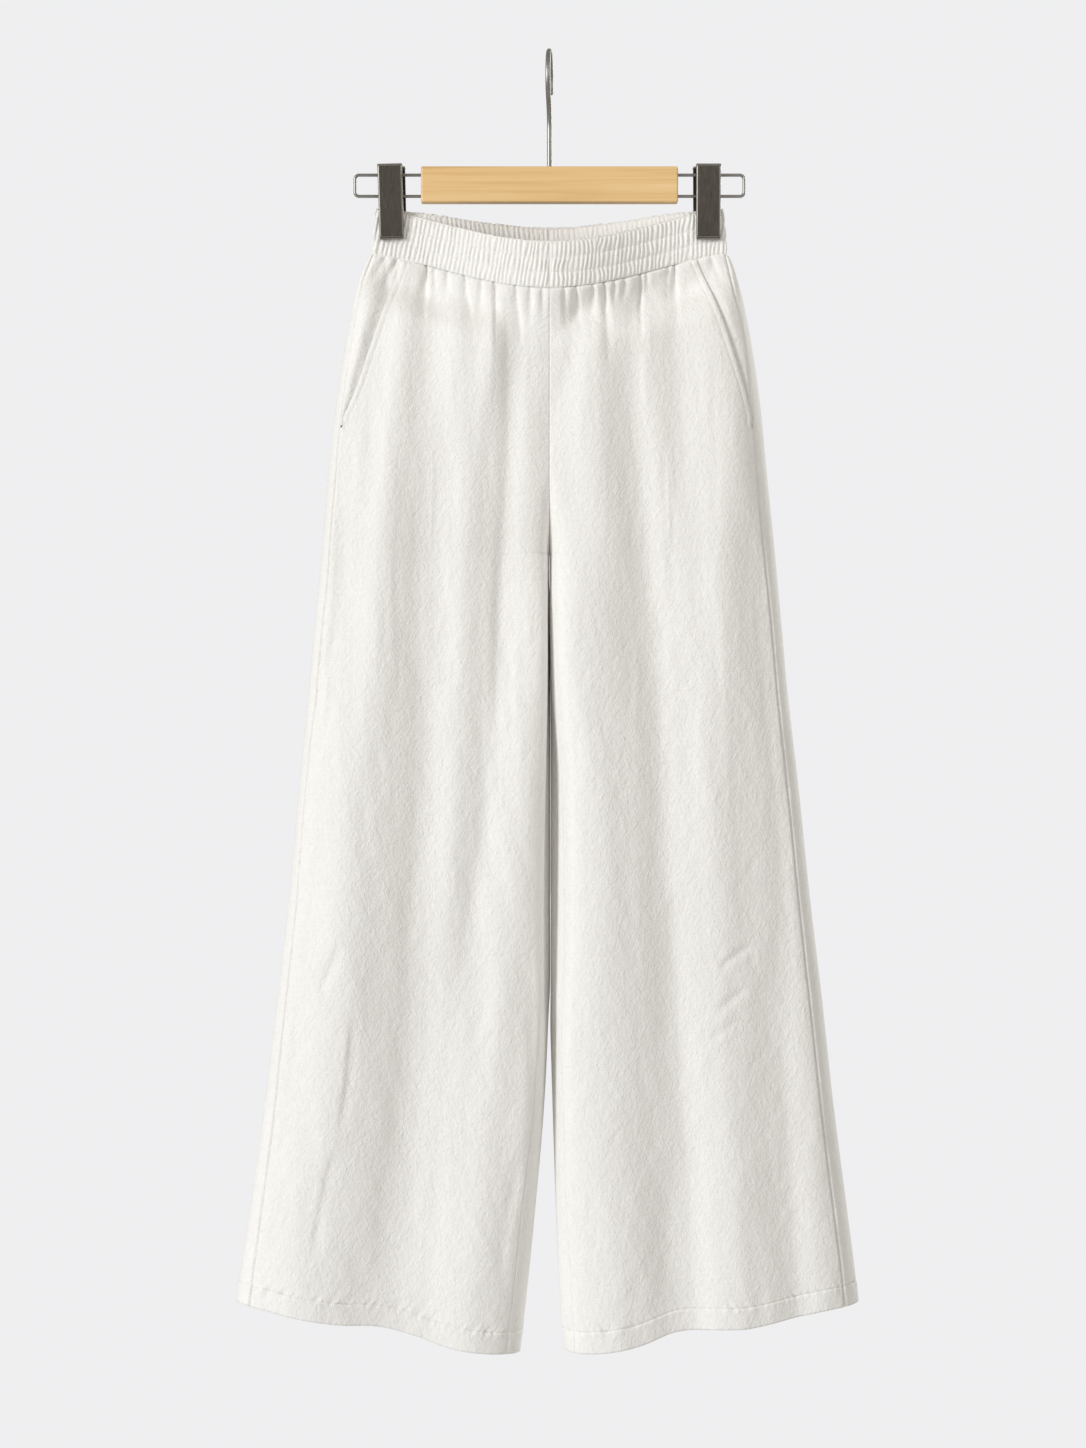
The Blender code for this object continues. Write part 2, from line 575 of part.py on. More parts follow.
def tube(name, path, radius, kind, sides=10):
    path = np.asarray(path, float)
    step = np.gradient(path, axis=0)
    step /= np.linalg.norm(step, axis=1)[:, None]
    first = np.cross(step[0], (1.0, 0.3, 0.2))
    first /= np.linalg.norm(first)
    points, faces = [], []
    for p, t in zip(path, step):
        first = first - t * np.dot(first, t)
        first /= np.linalg.norm(first)
        second = np.cross(t, first)
        for k in range(sides):
            turn = 2 * math.pi * k / sides
            points.append(p + radius * (math.cos(turn) * first + math.sin(turn) * second))
    for r in range(len(path) - 1):
        for k in range(sides):
            n = (k + 1) % sides
            faces.append((r * sides + k, r * sides + n, (r + 1) * sides + n, (r + 1) * sides + k))
    faces.append(tuple(range(sides)))
    faces.append(tuple((len(path) - 1) * sides + k for k in range(sides)))
    return add_object(name, points, faces, kind)


def bezier(a, b, c, d, count):
    t = np.linspace(0, 1, count)[:, None]
    a, b, c, d = (np.asarray(v, float) for v in (a, b, c, d))
    return (1 - t) ** 3 * a + 3 * (1 - t) ** 2 * t * b + 3 * (1 - t) * t * t * c + t ** 3 * d


def build_hook():
    """Ring of the hook in the plane across the rail: tip behind, over the top, down the front, neck, stem."""
    mid = np.array((0.0, HOOK_R - HOOK_RING))
    angles = np.radians(np.linspace(HOOK_TIP, HOOK_NECK, 24))
    arc = mid + HOOK_RING * np.stack([np.cos(angles), np.sin(angles)], axis=1)
    end = arc[-1]
    way = np.array((-math.sin(angles[-1]), math.cos(angles[-1])))
    stem_top = np.array((0.0, -66.0))
    neck = bezier(end, end + way * 9, stem_top + (0, 11.0), stem_top, 9)[1:]
    foot = np.array([(0.0, BAR_Z + BAR[2] / 2 - STEM_IN)])
    flat = np.concatenate([arc, neck, foot])
    turn = math.radians(HOOK_TURN)
    path = np.stack([flat[:, 0] * math.sin(turn), flat[:, 0] * math.cos(turn), flat[:, 1]], axis=1)
    return tube("hanger_hook", path, HOOK_R, "wire", 8)


def build_wire(side):
    s = SIDES[side]
    inside = BAR[0] / 2 - WIRE_IN
    turn = np.linspace(0, math.pi / 2, 5)
    high, low = WIRE_Z
    upper = [(WIRE_END - WIRE_BEND + WIRE_BEND * math.sin(t), high - WIRE_BEND + WIRE_BEND * math.cos(t))
             for t in turn]
    lower = [(x, high + low - z) for x, z in reversed(upper)]
    flat = [(inside, high)] + upper + lower + [(inside, low)]
    tube("hanger_wire_" + side, [(x * s, 0.0, z) for x, z in flat], WIRE_R, "wire", 8)


def box(name, size, middle, kind, edge=0.0):
    half = np.array(size) / 2
    corners = [np.array(middle) + half * (x, y, z) for x in (-1, 1) for y in (-1, 1) for z in (-1, 1)]
    faces = [(0, 1, 3, 2), (4, 6, 7, 5), (0, 4, 5, 1), (2, 3, 7, 6), (0, 2, 6, 4), (1, 5, 7, 3)]
    obj = add_object(name, corners, faces, kind, smooth=False)
    if edge:
        bevel = obj.modifiers.new("Bevel", "BEVEL")
        bevel.width = edge * MM
        bevel.segments = 1
    return obj


def cut(obj, cutter):
    cutter.hide_render = True
    cutter.display_type = "WIRE"
    made = obj.modifiers.new("Cut " + cutter.name, "BOOLEAN")
    made.operation = "DIFFERENCE"
    made.solver = "EXACT"
    made.object = cutter


def drill(obj, name, start, end, radius):
    cut(obj, tube(name, [start, end], radius, "core", 10))


def build_bar():
    bar = box("hanger_bar", BAR, (0, 0, BAR_Z), "wood", BAR_EDGE)
    top = BAR_Z + BAR[2] / 2
    drill(bar, "cut_stem", (0, 0, top + 5), (0, 0, top - STEM_IN - GAP), HOOK_R + GAP)
    for side, s in SIDES.items():
        for k, z in enumerate(WIRE_Z):
            start = (s * (BAR[0] / 2 + 5), 0, z)
            end = (s * (BAR[0] / 2 - WIRE_IN - GAP), 0, z)
            drill(bar, f"cut_wire_{side}_{k}", start, end, WIRE_R + GAP)


def tapered(name, x, width, top, low, deep_top, deep_low, in_top, in_low, way, lean, kind):
    """Eight-cornered block that narrows towards the grip, leaning about its middle."""
    corners = []
    for z, deep, inner in ((top, deep_top, in_top), (low, deep_low, in_low)):
        for y in (deep, inner):
            for w in (-width / 2, width / 2):
                corners.append((w, way * y, z))
    middle = (CLIP_TOP + CLIP_LOW) / 2
    turn = math.radians(lean)
    turned = [(x + w * math.cos(turn) - (z - middle) * math.sin(turn), y,
               middle + w * math.sin(turn) + (z - middle) * math.cos(turn)) for w, y, z in corners]
    faces = [(0, 1, 3, 2), (4, 6, 7, 5), (0, 4, 5, 1), (2, 3, 7, 6), (0, 2, 6, 4), (1, 5, 7, 3)]
    return add_object(name, turned, faces, kind, smooth=False)


def build_clip(side):
    x = CLIP_X[side]
    lean = CLIP_LEAN[side]
    for layer, way in (("front", -1), ("back", 1)):
        width = CLIP_WIDTH[layer]
        shift = 0.0 if layer == "front" else -SIDES[side] * 1.0
        jaw = tapered(f"clip_{side}_{layer}", x + shift, width, CLIP_TOP, CLIP_LOW, CLIP_DEPTH[0],
                      CLIP_DEPTH[1], CLIP_INSIDE, CLIP_INSIDE, way, lean, "clip")
        bevel = jaw.modifiers.new("Bevel", "BEVEL")
        bevel.width = 0.5 * MM
        bevel.segments = 1
        cutter = tapered(f"cut_{side}_{layer}", x + shift, width - 2 * CLIP_SKIN, CLIP_TOP - 1.5,
                         CLIP_LOW + 2.6, CLIP_DEPTH[0] - CLIP_SKIN, CLIP_DEPTH[1] - CLIP_SKIN + 0.25,
                         CLIP_INSIDE - 4, CLIP_INSIDE - 4, way, lean, "core")
        cut(jaw, cutter)
    core = box(f"clip_{side}_core", CORE, (x, 0, CORE_Z), "core", 1.0)
    for k, z in enumerate(WIRE_Z):
        drill(core, f"cut_core_{side}_{k}", (x - 14, 0, z), (x + 14, 0, z), WIRE_R + GAP)


clear_scene()
build_bar()
build_hook()
for part_side in SIDES:
    build_wire(part_side)
    build_clip(part_side)
    build_band(part_side)
    all_rows = [row for _part, low, high in PANEL_PARTS for row, _thick in part_rows(low, high)]
    side_rings = {row: ring(part_side, row) for row in all_rows}
    build_panel("front", part_side, side_rings, front_places)
    build_panel("back", part_side, side_rings, back_places)
    build_pocket(part_side, side_rings)
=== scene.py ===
"""Wide culottes on a clip hanger: cloth, seams, hanger, light and camera.

Sizes are in millimetres and turned into metres when a mesh is made. +Z is up and the front faces -Y.
The origin is the inside top of the hook. Left and right are as seen from the front.
"""

import math

import bmesh
import bpy
import numpy as np
from mathutils import Matrix, Vector
from mathutils.bvhtree import BVHTree


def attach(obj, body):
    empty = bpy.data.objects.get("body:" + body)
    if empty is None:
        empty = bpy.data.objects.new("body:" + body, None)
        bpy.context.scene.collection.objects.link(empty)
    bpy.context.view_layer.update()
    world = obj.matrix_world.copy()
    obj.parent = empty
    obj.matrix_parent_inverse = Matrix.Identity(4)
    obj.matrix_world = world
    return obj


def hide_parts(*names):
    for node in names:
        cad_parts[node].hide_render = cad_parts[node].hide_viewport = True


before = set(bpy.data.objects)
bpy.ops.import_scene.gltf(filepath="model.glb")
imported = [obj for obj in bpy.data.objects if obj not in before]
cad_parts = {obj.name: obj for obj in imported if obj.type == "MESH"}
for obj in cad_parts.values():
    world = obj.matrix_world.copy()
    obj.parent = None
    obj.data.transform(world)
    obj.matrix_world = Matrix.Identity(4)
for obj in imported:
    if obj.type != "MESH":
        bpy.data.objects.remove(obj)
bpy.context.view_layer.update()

MM = 0.001
SIDES = {"left": -1, "right": 1}

# ---- sizes of the body, most of them shared with the solids ----

BAND_HEIGHT = 40.0
BAND_CHANNELS = 3
BAND_TOP_HALF = 154.0
BAND_LOW_HALF = 156.5
BAND_RIBS = {"front": 40, "back": 36}
BAND_MID = 2.4
PINCH = 2.7
PINCH_FROM = 125.0
BOW = {"front": 27.3, "back": 22.3}
SEAM_Z = -177.0
SAG = {"front": 32.0, "back": 13.0}
SAG_HALF = 160.0
SAG_POWER = 0.85
BLEND_DROP = 62.0
CROTCH_Z = -446.0
TOUCH_Z = -740.0  # the legs touch down to here
CENTRE = 0.04
LEVEL_COLUMNS = ("z", "out_l", "out_r", "in_l", "in_r", "seam_l", "seam_r", "inseam_l", "inseam_r",
                 "front", "back", "square")
LEVELS = (
    (-177, 158.0, 157.5, -157.0, -156.5, 3.0, 3.0, 0.0, 0.0, 40.0, 28.0, 2.4),
    (-186, 162.5, 161.5, -150.0, -150.0, 4.0, 5.0, 0.0, 0.0, 42.0, 29.0, 2.4),
    (-202, 168.5, 166.5, -140.0, -140.0, 4.5, 6.5, 0.0, 0.0, 45.0, 31.0, 2.5),
    (-248, 178.0, 176.5, -105.0, -105.0, 5.5, 7.5, 0.0, 0.0, 47.0, 34.0, 2.6),
    (-309, 188.0, 185.5, -62.0, -62.0, 7.0, 9.0, 0.0, 0.0, 46.0, 36.0, 2.8),
    (-371, 195.0, 191.5, -28.0, -28.0, 8.0, 9.5, 0.0, 0.0, 44.0, 37.0, 3.0),
    (-396, 197.0, 194.0, -15.0, -15.0, 8.0, 10.0, 0.0, 0.0, 43.0, 37.0, 3.0),
    (-420, 199.0, 196.5, -5.2, -5.2, 8.0, 10.0, 0.0, 0.0, 42.0, 37.0, 3.0),
    (-446, 201.0, 199.0, 0.2, 0.2, 8.0, 10.0, 0.0, 0.0, 40.0, 37.0, 3.2),
    (-500, 206.5, 204.0, 0.2, 0.2, 7.5, 10.0, 0.6, 0.6, 40.0, 37.0, 3.8),
    (-556, 211.5, 209.0, 0.2, 0.2, 7.0, 10.0, 1.2, 1.2, 40.0, 37.0, 4.2),
    (-648, 220.5, 219.5, 0.2, 0.2, 7.0, 10.5, 2.4, 2.4, 41.0, 38.0, 4.0),
    (-740, 229.0, 229.0, 0.3, 0.3, 8.0, 11.0, 3.6, 3.6, 42.0, 38.0, 3.7),
    (-833, 240.0, 240.0, 0.6, 0.3, 9.0, 12.0, 5.0, 4.6, 42.0, 39.0, 3.4),
    (-925, 251.0, 250.0, 4.6, 2.6, 10.5, 12.5, 9.0, 6.5, 43.0, 40.0, 3.2),
    (-1018, 264.0, 262.0, 12.6, 5.7, 11.5, 13.0, 12.0, 8.5, 44.0, 41.0, 3.0),
    (-1097, 275.0, 271.5, 20.6, 9.4, 12.5, 13.5, 12.5, 9.5, 45.0, 42.0, 2.9),
    (-1142, 278.0, 274.0, 26.0, 13.0, 12.5, 13.5, 12.5, 9.5, 45.0, 42.0, 2.9),
)
SIDE_SQUARE = 2.3
HEM_BAND = 18.0
LEG_ROWS = 670.0
HEM_COLUMNS = ("u", "left", "right")
HEM = (
    (0.00, -1140.0, -1138.0),
    (0.10, -1138.5, -1137.5),
    (0.25, -1133.0, -1131.0),
    (0.38, -1122.5, -1119.5),
    (0.50, -1115.0, -1117.0),
    (0.62, -1113.0, -1115.5),
    (0.75, -1108.5, -1109.0),
    (0.88, -1101.8, -1101.8),
    (1.00, -1096.5, -1096.8),
)
SLANT_COLUMNS = ("z", "left", "right")
SLANT = (
    (-180, 130.0, 130.0),
    (-220, 143.5, 145.5),
    (-262, 157.5, 160.0),
    (-300, 170.5, 171.5),
    (-322, 180.3, 176.8),
)
SLANT_END = -330.0
BAG_SHARE = 8.0 / 28.0  # of the front's width that the bag runs behind
BAG_BEHIND = 1.4
BAG_STEP = 1.3

FOLD_LEVELS = (-215, -330, -480, -650, -830, -1080)
# x at each level, depth at each level, reach to the left and to the right.
# The back's rows are given. The front's come from a least-squares fit to the light on the cloth.
FOLDS = {
    "front": (  # a depth below nothing is a swell
        ((-151, -176, -186, -194, -217, -245), (1.5, 6.2, 3.9, 1.3, 1.2, 0.8), 7, 15),
        ((-139, -153, -168, -166, -156, -197), (9.5, 9.3, 6.0, 2.4, 2.5, 0.4), 16, 19),
        ((-132, -144, -158, -167, -166, -171), (-2.5, -4.1, -1.9, -3.6, -1.1, 2.3), 44, 15),
        ((-103, -119, -119, -120, -130, -157), (9.2, 9.2, 9.5, 10.0, 10.1, 10.0), 28, 21),
        ((-102, -99, -97, -101, -109, -134), (5.0, 9.5, 9.5, 10.0, 10.0, 9.3), 21, 20),
        ((-66, -69, -84, -30, -28, -62), (9.5, 9.4, 1.1, 0.7, 5.7, 1.2), 28, 19),
        ((-41, -63, -79, -75, -59, -62), (-1.8, -3.5, -0.5, 0.8, 1.4, -0.5), 15, 12),
        ((-22, -40, -61, -59, -87, -111), (9.5, 9.5, 9.5, 9.7, 9.9, 9.6), 28, 19),
        ((-37, -35, -43, -43, -13, -10), (4.6, 2.6, 4.9, 0.0, 1.0, 9.9), 7, 12),
        ((5, -18, -33, -39, -64, -91), (9.5, 6.8, 9.5, 6.5, 9.9, 5.8), 24, 20),
        ((42, 4, 7, 17, 14, 25), (2.7, 2.9, -5.0, -5.0, -5.4, -5.3), 14, 42),
        ((22, 10, 42, 69, 80, 99), (9.3, 8.1, 0.0, 4.0, 5.1, 6.0), 26, 21),
        ((48, 68, 76, 70, 81, 102), (3.0, 3.0, 0.2, -4.7, -4.0, 0.6), 43, 19),
        ((70, 71, 83, 94, 107, 123), (9.5, 9.5, 9.5, 7.9, 9.9, 10.0), 28, 19),
        ((88, 94, 107, 120, 133, 149), (9.3, 9.5, 9.5, 7.2, 6.3, 6.9), 28, 21),
        ((111, 118, 134, 154, 167, 184), (9.4, 9.5, 7.1, 4.3, 3.0, 6.1), 20, 21),
        ((141, 141, 144, 152, 157, 188), (-0.7, 3.0, -3.1, -3.3, -0.3, -3.1), 37, 16),
        ((131, 140, 185, 192, 198, 215), (5.9, 1.4, 3.4, 5.4, 8.8, 9.5), 28, 21),
    ),
    "back": (
        ((-118, -122, -134, -150, -160, -170), (4.0, 5.0, 6.0, 7.0, 7.0, 6.0), 22, 13),
        ((-50, -58, -66, -78, -92, -104), (5.0, 7.0, 8.0, 9.0, 8.0, 6.0), 14, 22),
        ((-24, -26, -28, -34, -40, -50), (2.0, 3.0, 3.0, 4.0, 4.0, 4.0), 10, 12),
        ((-160, -168, -182, -196, -206, -222), (0.0, 1.0, 3.0, 4.0, 5.0, 6.0), 16, 12),
        ((38, 46, 56, 66, 78, 92), (5.0, 6.0, 8.0, 9.0, 8.0, 6.0), 20, 12),
        ((96, 104, 118, 130, 144, 160), (4.0, 6.0, 7.0, 7.0, 7.0, 6.0), 12, 22),
        ((150, 162, 176, 190, 204, 220), (0.0, 1.5, 3.0, 4.0, 5.0, 6.0), 14, 14),
    ),
}
GATHERS = {  # x at the seam, x at the lower end, depth, length, reach left and right at the lower end
    "front": (
        (-144, -158, 1.6, 40, 4, 3), (-134, -146, 2.2, 45, 4, 3), (-108, -110, 3.4, 70, 6, 2.5),
        (-101, -104, 1.0, 14, 2, 2), (-90, -89, 1.3, 22, 2.5, 2), (-75, -67, 2.6, 60, 6, 2),
        (-60, -59, 1.5, 24, 2.5, 2.5), (-49, -46, 3.6, 80, 2, 7), (-30, -25, 2.4, 60, 5, 2),
        (-17, -15, 1.5, 28, 3, 2), (-6, -6, 0.9, 20, 2, 2), (13, 12, 1.0, 24, 2, 2), (23, 27, 2.2, 45, 5, 2),
        (38, 40, 1.4, 22, 2.5, 2), (48, 52, 3.2, 90, 4, 4), (57, 56, 1.3, 24, 2.5, 1.5),
        (66, 64, 1.6, 24, 3, 2), (80, 80, 3.4, 70, 2.4, 2), (85, 87, 0.9, 14, 2, 2), (104, 108, 1.4, 16, 2, 2),
        (110, 112, 3.2, 70, 6, 2), (142, 152, 1.8, 40, 3, 3),
    ),
    "back": (
        (-12, -12, 2.4, 80, 5, 4), (-22, -23, 1.2, 24, 3, 2), (-32, -34, 3.2, 90, 4, 6),
        (-43, -42, 1.4, 30, 2, 3), (-54, -56, 3.0, 110, 6, 3), (-66, -67, 1.4, 26, 3, 3),
        (-78, -82, 2.6, 80, 4, 4), (-93, -97, 3.2, 100, 6, 3), (-104, -106, 1.2, 24, 2, 3),
        (-118, -124, 2.8, 80, 4, 6), (-138, -148, 2.0, 60, 4, 4),
        (10, 10, 2.6, 80, 4, 5), (21, 22, 1.3, 26, 3, 2), (31, 33, 2.8, 90, 6, 3), (42, 42, 1.3, 24, 2, 3),
        (53, 56, 3.2, 110, 3, 6), (66, 68, 1.5, 30, 3, 2), (76, 79, 2.6, 80, 5, 3), (92, 96, 3.2, 100, 3, 6),
        (104, 105, 1.2, 22, 3, 2), (116, 121, 2.6, 90, 5, 4), (137, 146, 2.0, 60, 4, 3),
    ),
}
PARTING_LEVELS = (-446, -500, -560, -620, -710, -800, -895, -1000)
PARTING = {"left": (0, 0, 0.5, 1.5, 3.0, 3.0, 1.5, 0), "right": (0, 0.8, 2.5, 6.5, 7.5, 6.5, 3.5, 0)}
HELD_APART = 2.6  # half depth that folds leave between front and back
MIDDLE_GAP = 0.2  # from the middle to each leg
MIDDLE_EASE = 3.0  # how gently the crotch curve runs into that gap
GATHER_START = 3.0
HELD_DROP = 40.0
PUFF = 1.6
PIT = 1.1  # reach of a pinch at the seam

# ---- what the scene adds ----

# Creases: start x z, end x z, bend, depth (a ridge is negative), reach left and right of the way it runs
CREASES = {
    "front": (
        (-171, -833, -184, -952, 3, 1.6, 3, 7),
        (-184, -952, -206, -1062, -3, 1.3, 3, 7),
        (-180, -776, -202, -829, 0, 1.2, 3, 6),
        (-188, -500, -216, -600, 4, 1.0, 6, 4),
        (-190, -560, -214, -640, 4, 0.9, 6, 4),
        (-20, -952, -44, -1084, -4, 1.5, 8, 5),
        (2, -366, 3, -500, 0, 2.5, 7, 2),
        (146, -806, 180, -782, 3, 1.4, 4, 3),
        (142, -846, 178, -818, 3, 1.2, 4, 3),
        (138, -868, 172, -846, 3, 0.9, 4, 3),
        (172, -798, 182, -794, 1, 0.8, 2, 2),
        (103, -352, 105, -446, 0, -0.4, 1.6, 1.6),
        (100, -446, 166, -440, -1, -0.45, 2.4, 2.4),
        (-101, -350, -104, -446, 0, -0.3, 1.6, 1.6),
        (-98, -446, -166, -440, 1, -0.35, 2.4, 2.4),
    ),
    "back": (
        (-150, -470, -176, -590, 4, 1.1, 5, 4),
        (-60, -430, -86, -560, -5, 1.2, 6, 4),
        (-14, -436, -44, -530, 4, 1.6, 5, 7),
        (16, -440, 48, -540, -4, 1.5, 7, 5),
        (62, -470, 94, -610, 5, 1.1, 5, 6),
        (150, -500, 180, -640, -4, 1.0, 5, 4),
        (-122, -800, -152, -930, 4, 1.2, 3, 6),
        (-190, -880, -214, -1010, -3, 1.3, 3, 7),
        (112, -830, 142, -902, 3, 1.2, 4, 3),
        (118, -870, 146, -930, 3, 0.9, 4, 3),
        (172, -860, 198, -980, -3, 1.3, 4, 6),
        (42, -960, 68, -1080, 4, 1.3, 7, 4),
    ),
}
CRINKLE = (  # size across, size along, tilt, depth, from and to this height
    (38, 130, 0.00, 1.10, -180, -1200),
    (15, 85, 0.03, 0.42, -180, -1200),
    (6.5, 42, 0.02, 0.20, -180, -700),
    (9, 30, 0.55, 0.20, -480, -1200),
    (9, 34, -0.60, 0.14, -480, -1200),
    (3.4, 18, 0.05, 0.07, -180, -1200),
)
RIB_LEAN = {"left": -1.6, "right": 0.9}  # ribs that a shirred rib drifts by from seam to top
RIB_CHANGE = {"left": 0.5, "right": 1.1}  # how much the ribs change from channel to channel
ROWS = 400
FRONT_COLUMNS = 200
BACK_COLUMNS = 150
BAG_COLUMNS = 22
HIP_COLUMNS = 26
FINE_SEED = 11
TACK = (2.3, 7.0)  # width and height of the bar tack under the pocket
TACK_PITCH = 0.42
TACK_R = 0.24

# Hanger
BAR = (226.0, 14.0, 31.7)
BAR_Z = -115.75
WIRE_R = 1.4
WIRE_Z = (-106.8, -125.5)
WIRE_END = 171.2
WIRE_BEND = 3.6
HOOK_R = 2.2
HOOK_RING = 24.2
HOOK_TURN = 3.5
HOOK_TIP = -20.0
HOOK_NECK = 232.0
STEM_TOP = -66.0
CLIP_X = {"left": -139.4, "right": 139.6}
CLIP_LEAN = {"left": 1.5, "right": 0.0}
CLIP_WIDTH = {"front": 21.6, "back": 23.6}
CLIP_TOP = -98.5
CLIP_LOW = -164.0
CLIP_DEPTH = (13.0, 6.6)
CLIP_INSIDE = 3.6

CAMERA_AT = (-5.7, -3010.0, -590.0)
LENS = 85.0
BACKDROP = (0.862, 0.862, 0.874)
FILL = (0.463, 0.444, 0.413)
LIGHTS = {  # place, aim and size in metres, watts, colour
    "key": ((-5.2, -3.9, 1.1), (0, 0, -0.65), (1.9, 2.9), 300, (0.96, 0.978, 1.0)),
    "high": ((0.8, -1.2, 0.45), (0.08, 0, -0.2), (0.6, 0.6), 3.6, (1.0, 0.99, 0.97)),
    "rear": ((4.6, 4.4, 1.2), (0, 0, -0.65), (1.9, 2.9), 170, (0.96, 0.978, 1.0)),
}


# ---- helpers ----


def smooth_step(t):
    t = np.clip(t, 0.0, 1.0)
    return t * t * (3.0 - 2.0 * t)


def bump(d, reach):
    return np.exp(-((d / reach) ** 2))


def smoother_step(t):
    """A step from 0 to 1, for t between 0 and 1, that starts and ends without a bend."""
    return t * t * t * (t * (6 * t - 15) + 10)


def unit(v):
    """The same vectors with length 1."""
    return v / np.linalg.norm(v, axis=-1, keepdims=True)


def run_along(points):
    """Length from the first point to each point of a line."""
    return np.concatenate([[0], np.cumsum(np.linalg.norm(np.diff(points, axis=0), axis=1))])


def along(at, run, columns):
    """Each column's value at these lengths."""
    return np.stack([np.interp(at, run, column) for column in columns.T], axis=1)


def through(xs, ys, x):
    """A smooth curve through the points of a table, with slopes taken from its neighbours."""
    xs = np.asarray(xs, float)
    ys = np.asarray(ys, float)
    slopes = np.gradient(ys, xs)
    x = np.clip(x, xs[0], xs[-1])
    i = np.clip(np.searchsorted(xs, x) - 1, 0, len(xs) - 2)
    h = xs[i + 1] - xs[i]
    t = (x - xs[i]) / h
    return ((1 + 2 * t) * (1 - t) ** 2 * ys[i] + t * (1 - t) ** 2 * h * slopes[i]
            + t * t * (3 - 2 * t) * ys[i + 1] + t * t * (t - 1) * h * slopes[i + 1])


LEVEL_DOWN = np.linspace(177.0, 1142.0, 3000)
LEVEL_CURVES = {
    name: through(-np.array(LEVELS)[:, 0], np.array(LEVELS)[:, k], LEVEL_DOWN)
    for k, name in enumerate(LEVEL_COLUMNS) if k
}


def level(name, z):
    return np.interp(-z, LEVEL_DOWN, LEVEL_CURVES[name])


def lumps(u, v, seed):
    """Smooth noise between -1 and 1 with about one lump for each unit of u and v."""
    values = np.random.default_rng(seed).uniform(-1, 1, (128, 128))
    iu, iv = np.floor(u).astype(int), np.floor(v).astype(int)
    fu, fv = u - iu, v - iv
    fu, fv = smoother_step(fu), smoother_step(fv)
    a = values[iu % 128, iv % 128] * (1 - fu) + values[(iu + 1) % 128, iv % 128] * fu
    b = values[iu % 128, (iv + 1) % 128] * (1 - fu) + values[(iu + 1) % 128, (iv + 1) % 128] * fu
    return a * (1 - fv) + b * fv


# ---- plan of the body: the same kinds of curves as the solids ----


def sag(a, layer):
    return SAG[layer] * np.cos(math.pi / 2 * np.clip(a / SAG_HALF, 0, 1)) ** (2 * SAG_POWER)


def waist_depth(a, out, layer):
    bow = PINCH + BOW[layer] * np.cos(math.pi / 2 * np.clip(a / PINCH_FROM, 0, 1)) ** 2
    near_end = np.clip(a - (out - PINCH), 0, PINCH)
    return np.where(near_end > 0, np.sqrt(np.maximum(PINCH ** 2 - near_end ** 2, 0)), bow)


def row_height(side, row, a, u, layer):
    """Height of a row, and of the waist seam above it. Row 0 is that seam, 1 the crotch and 2 the hem."""
    top = SEAM_Z - sag(a, layer)
    table = np.array(HEM)
    hem = through(table[:, 0], table[:, HEM_COLUMNS.index(side)], np.clip(u, 0, 1))
    high = top + row * (CROTCH_Z - top)
    low = CROTCH_Z + (row - 1) * (hem - CROTCH_Z)
    return np.where(row <= 1, high, low), top


def fold_shift(x, z, drop, layer):
    """How far the folds draw the cloth in. At the seam the band holds it."""
    total = np.zeros_like(x)
    heights = -np.array(FOLD_LEVELS, float)
    for xs, depths, left, right in FOLDS[layer]:
        d = x - through(heights, xs, -z)
        reach = np.where(d < 0, left, right)
        total += through(heights, depths, -z) * bump(d, reach)
    held_down_to = HELD_DROP * (1 + 0.35 * lumps(x / 29, x * 0, FINE_SEED + 31))
    return total * (0.05 + 0.95 * smooth_step(drop / held_down_to))


def gather_shift(x, drop, layer):
    """The pinches under the seam, and the puffs between them as a negative shift."""
    pinch = np.zeros_like(x)
    near = np.zeros_like(x)
    for x_top, x_low, depth, length, left, right in GATHERS[layer]:
        run = np.clip(drop / length, 0, 1)
        d = x - (x_top + (x_low - x_top) * np.sin(math.pi / 2 * run))
        reach = np.where(d < 0, left, right)
        reach = PIT + (reach - PIT) * smooth_step(run / 0.45)
        grow = smooth_step(drop / GATHER_START) * 0.4 + 0.6
        pinch += depth * grow * (1 - run * run) ** 2 * bump(d, reach)
        near = np.maximum(near, bump(x - x_top, 1.5 + depth))
    fall = 28 * (1 + 0.5 * lumps(x / 17, x * 0, FINE_SEED + 33))
    puff = PUFF * smooth_step(drop / 4 + 0.1) * (1 - smooth_step((drop - 6) / fall))
    return pinch - puff * (1 - near)


# Places round a half ring: front from inner seam to crown, front side, back side, back to inner seam
PLACES = np.concatenate([
    np.linspace(0, 1, 240, endpoint=False),
    1 + np.linspace(0, 1, 300, endpoint=False),
    2 + np.linspace(0, 1, 300, endpoint=False),
    np.linspace(3, 4, 320),
])
OUTER_EDGE = int(np.argmin(np.abs(PLACES - 2)))
INNER_SHARE = 0.8  # of the last quarter, up to the inner end of a leg
END_POWER = 2.6


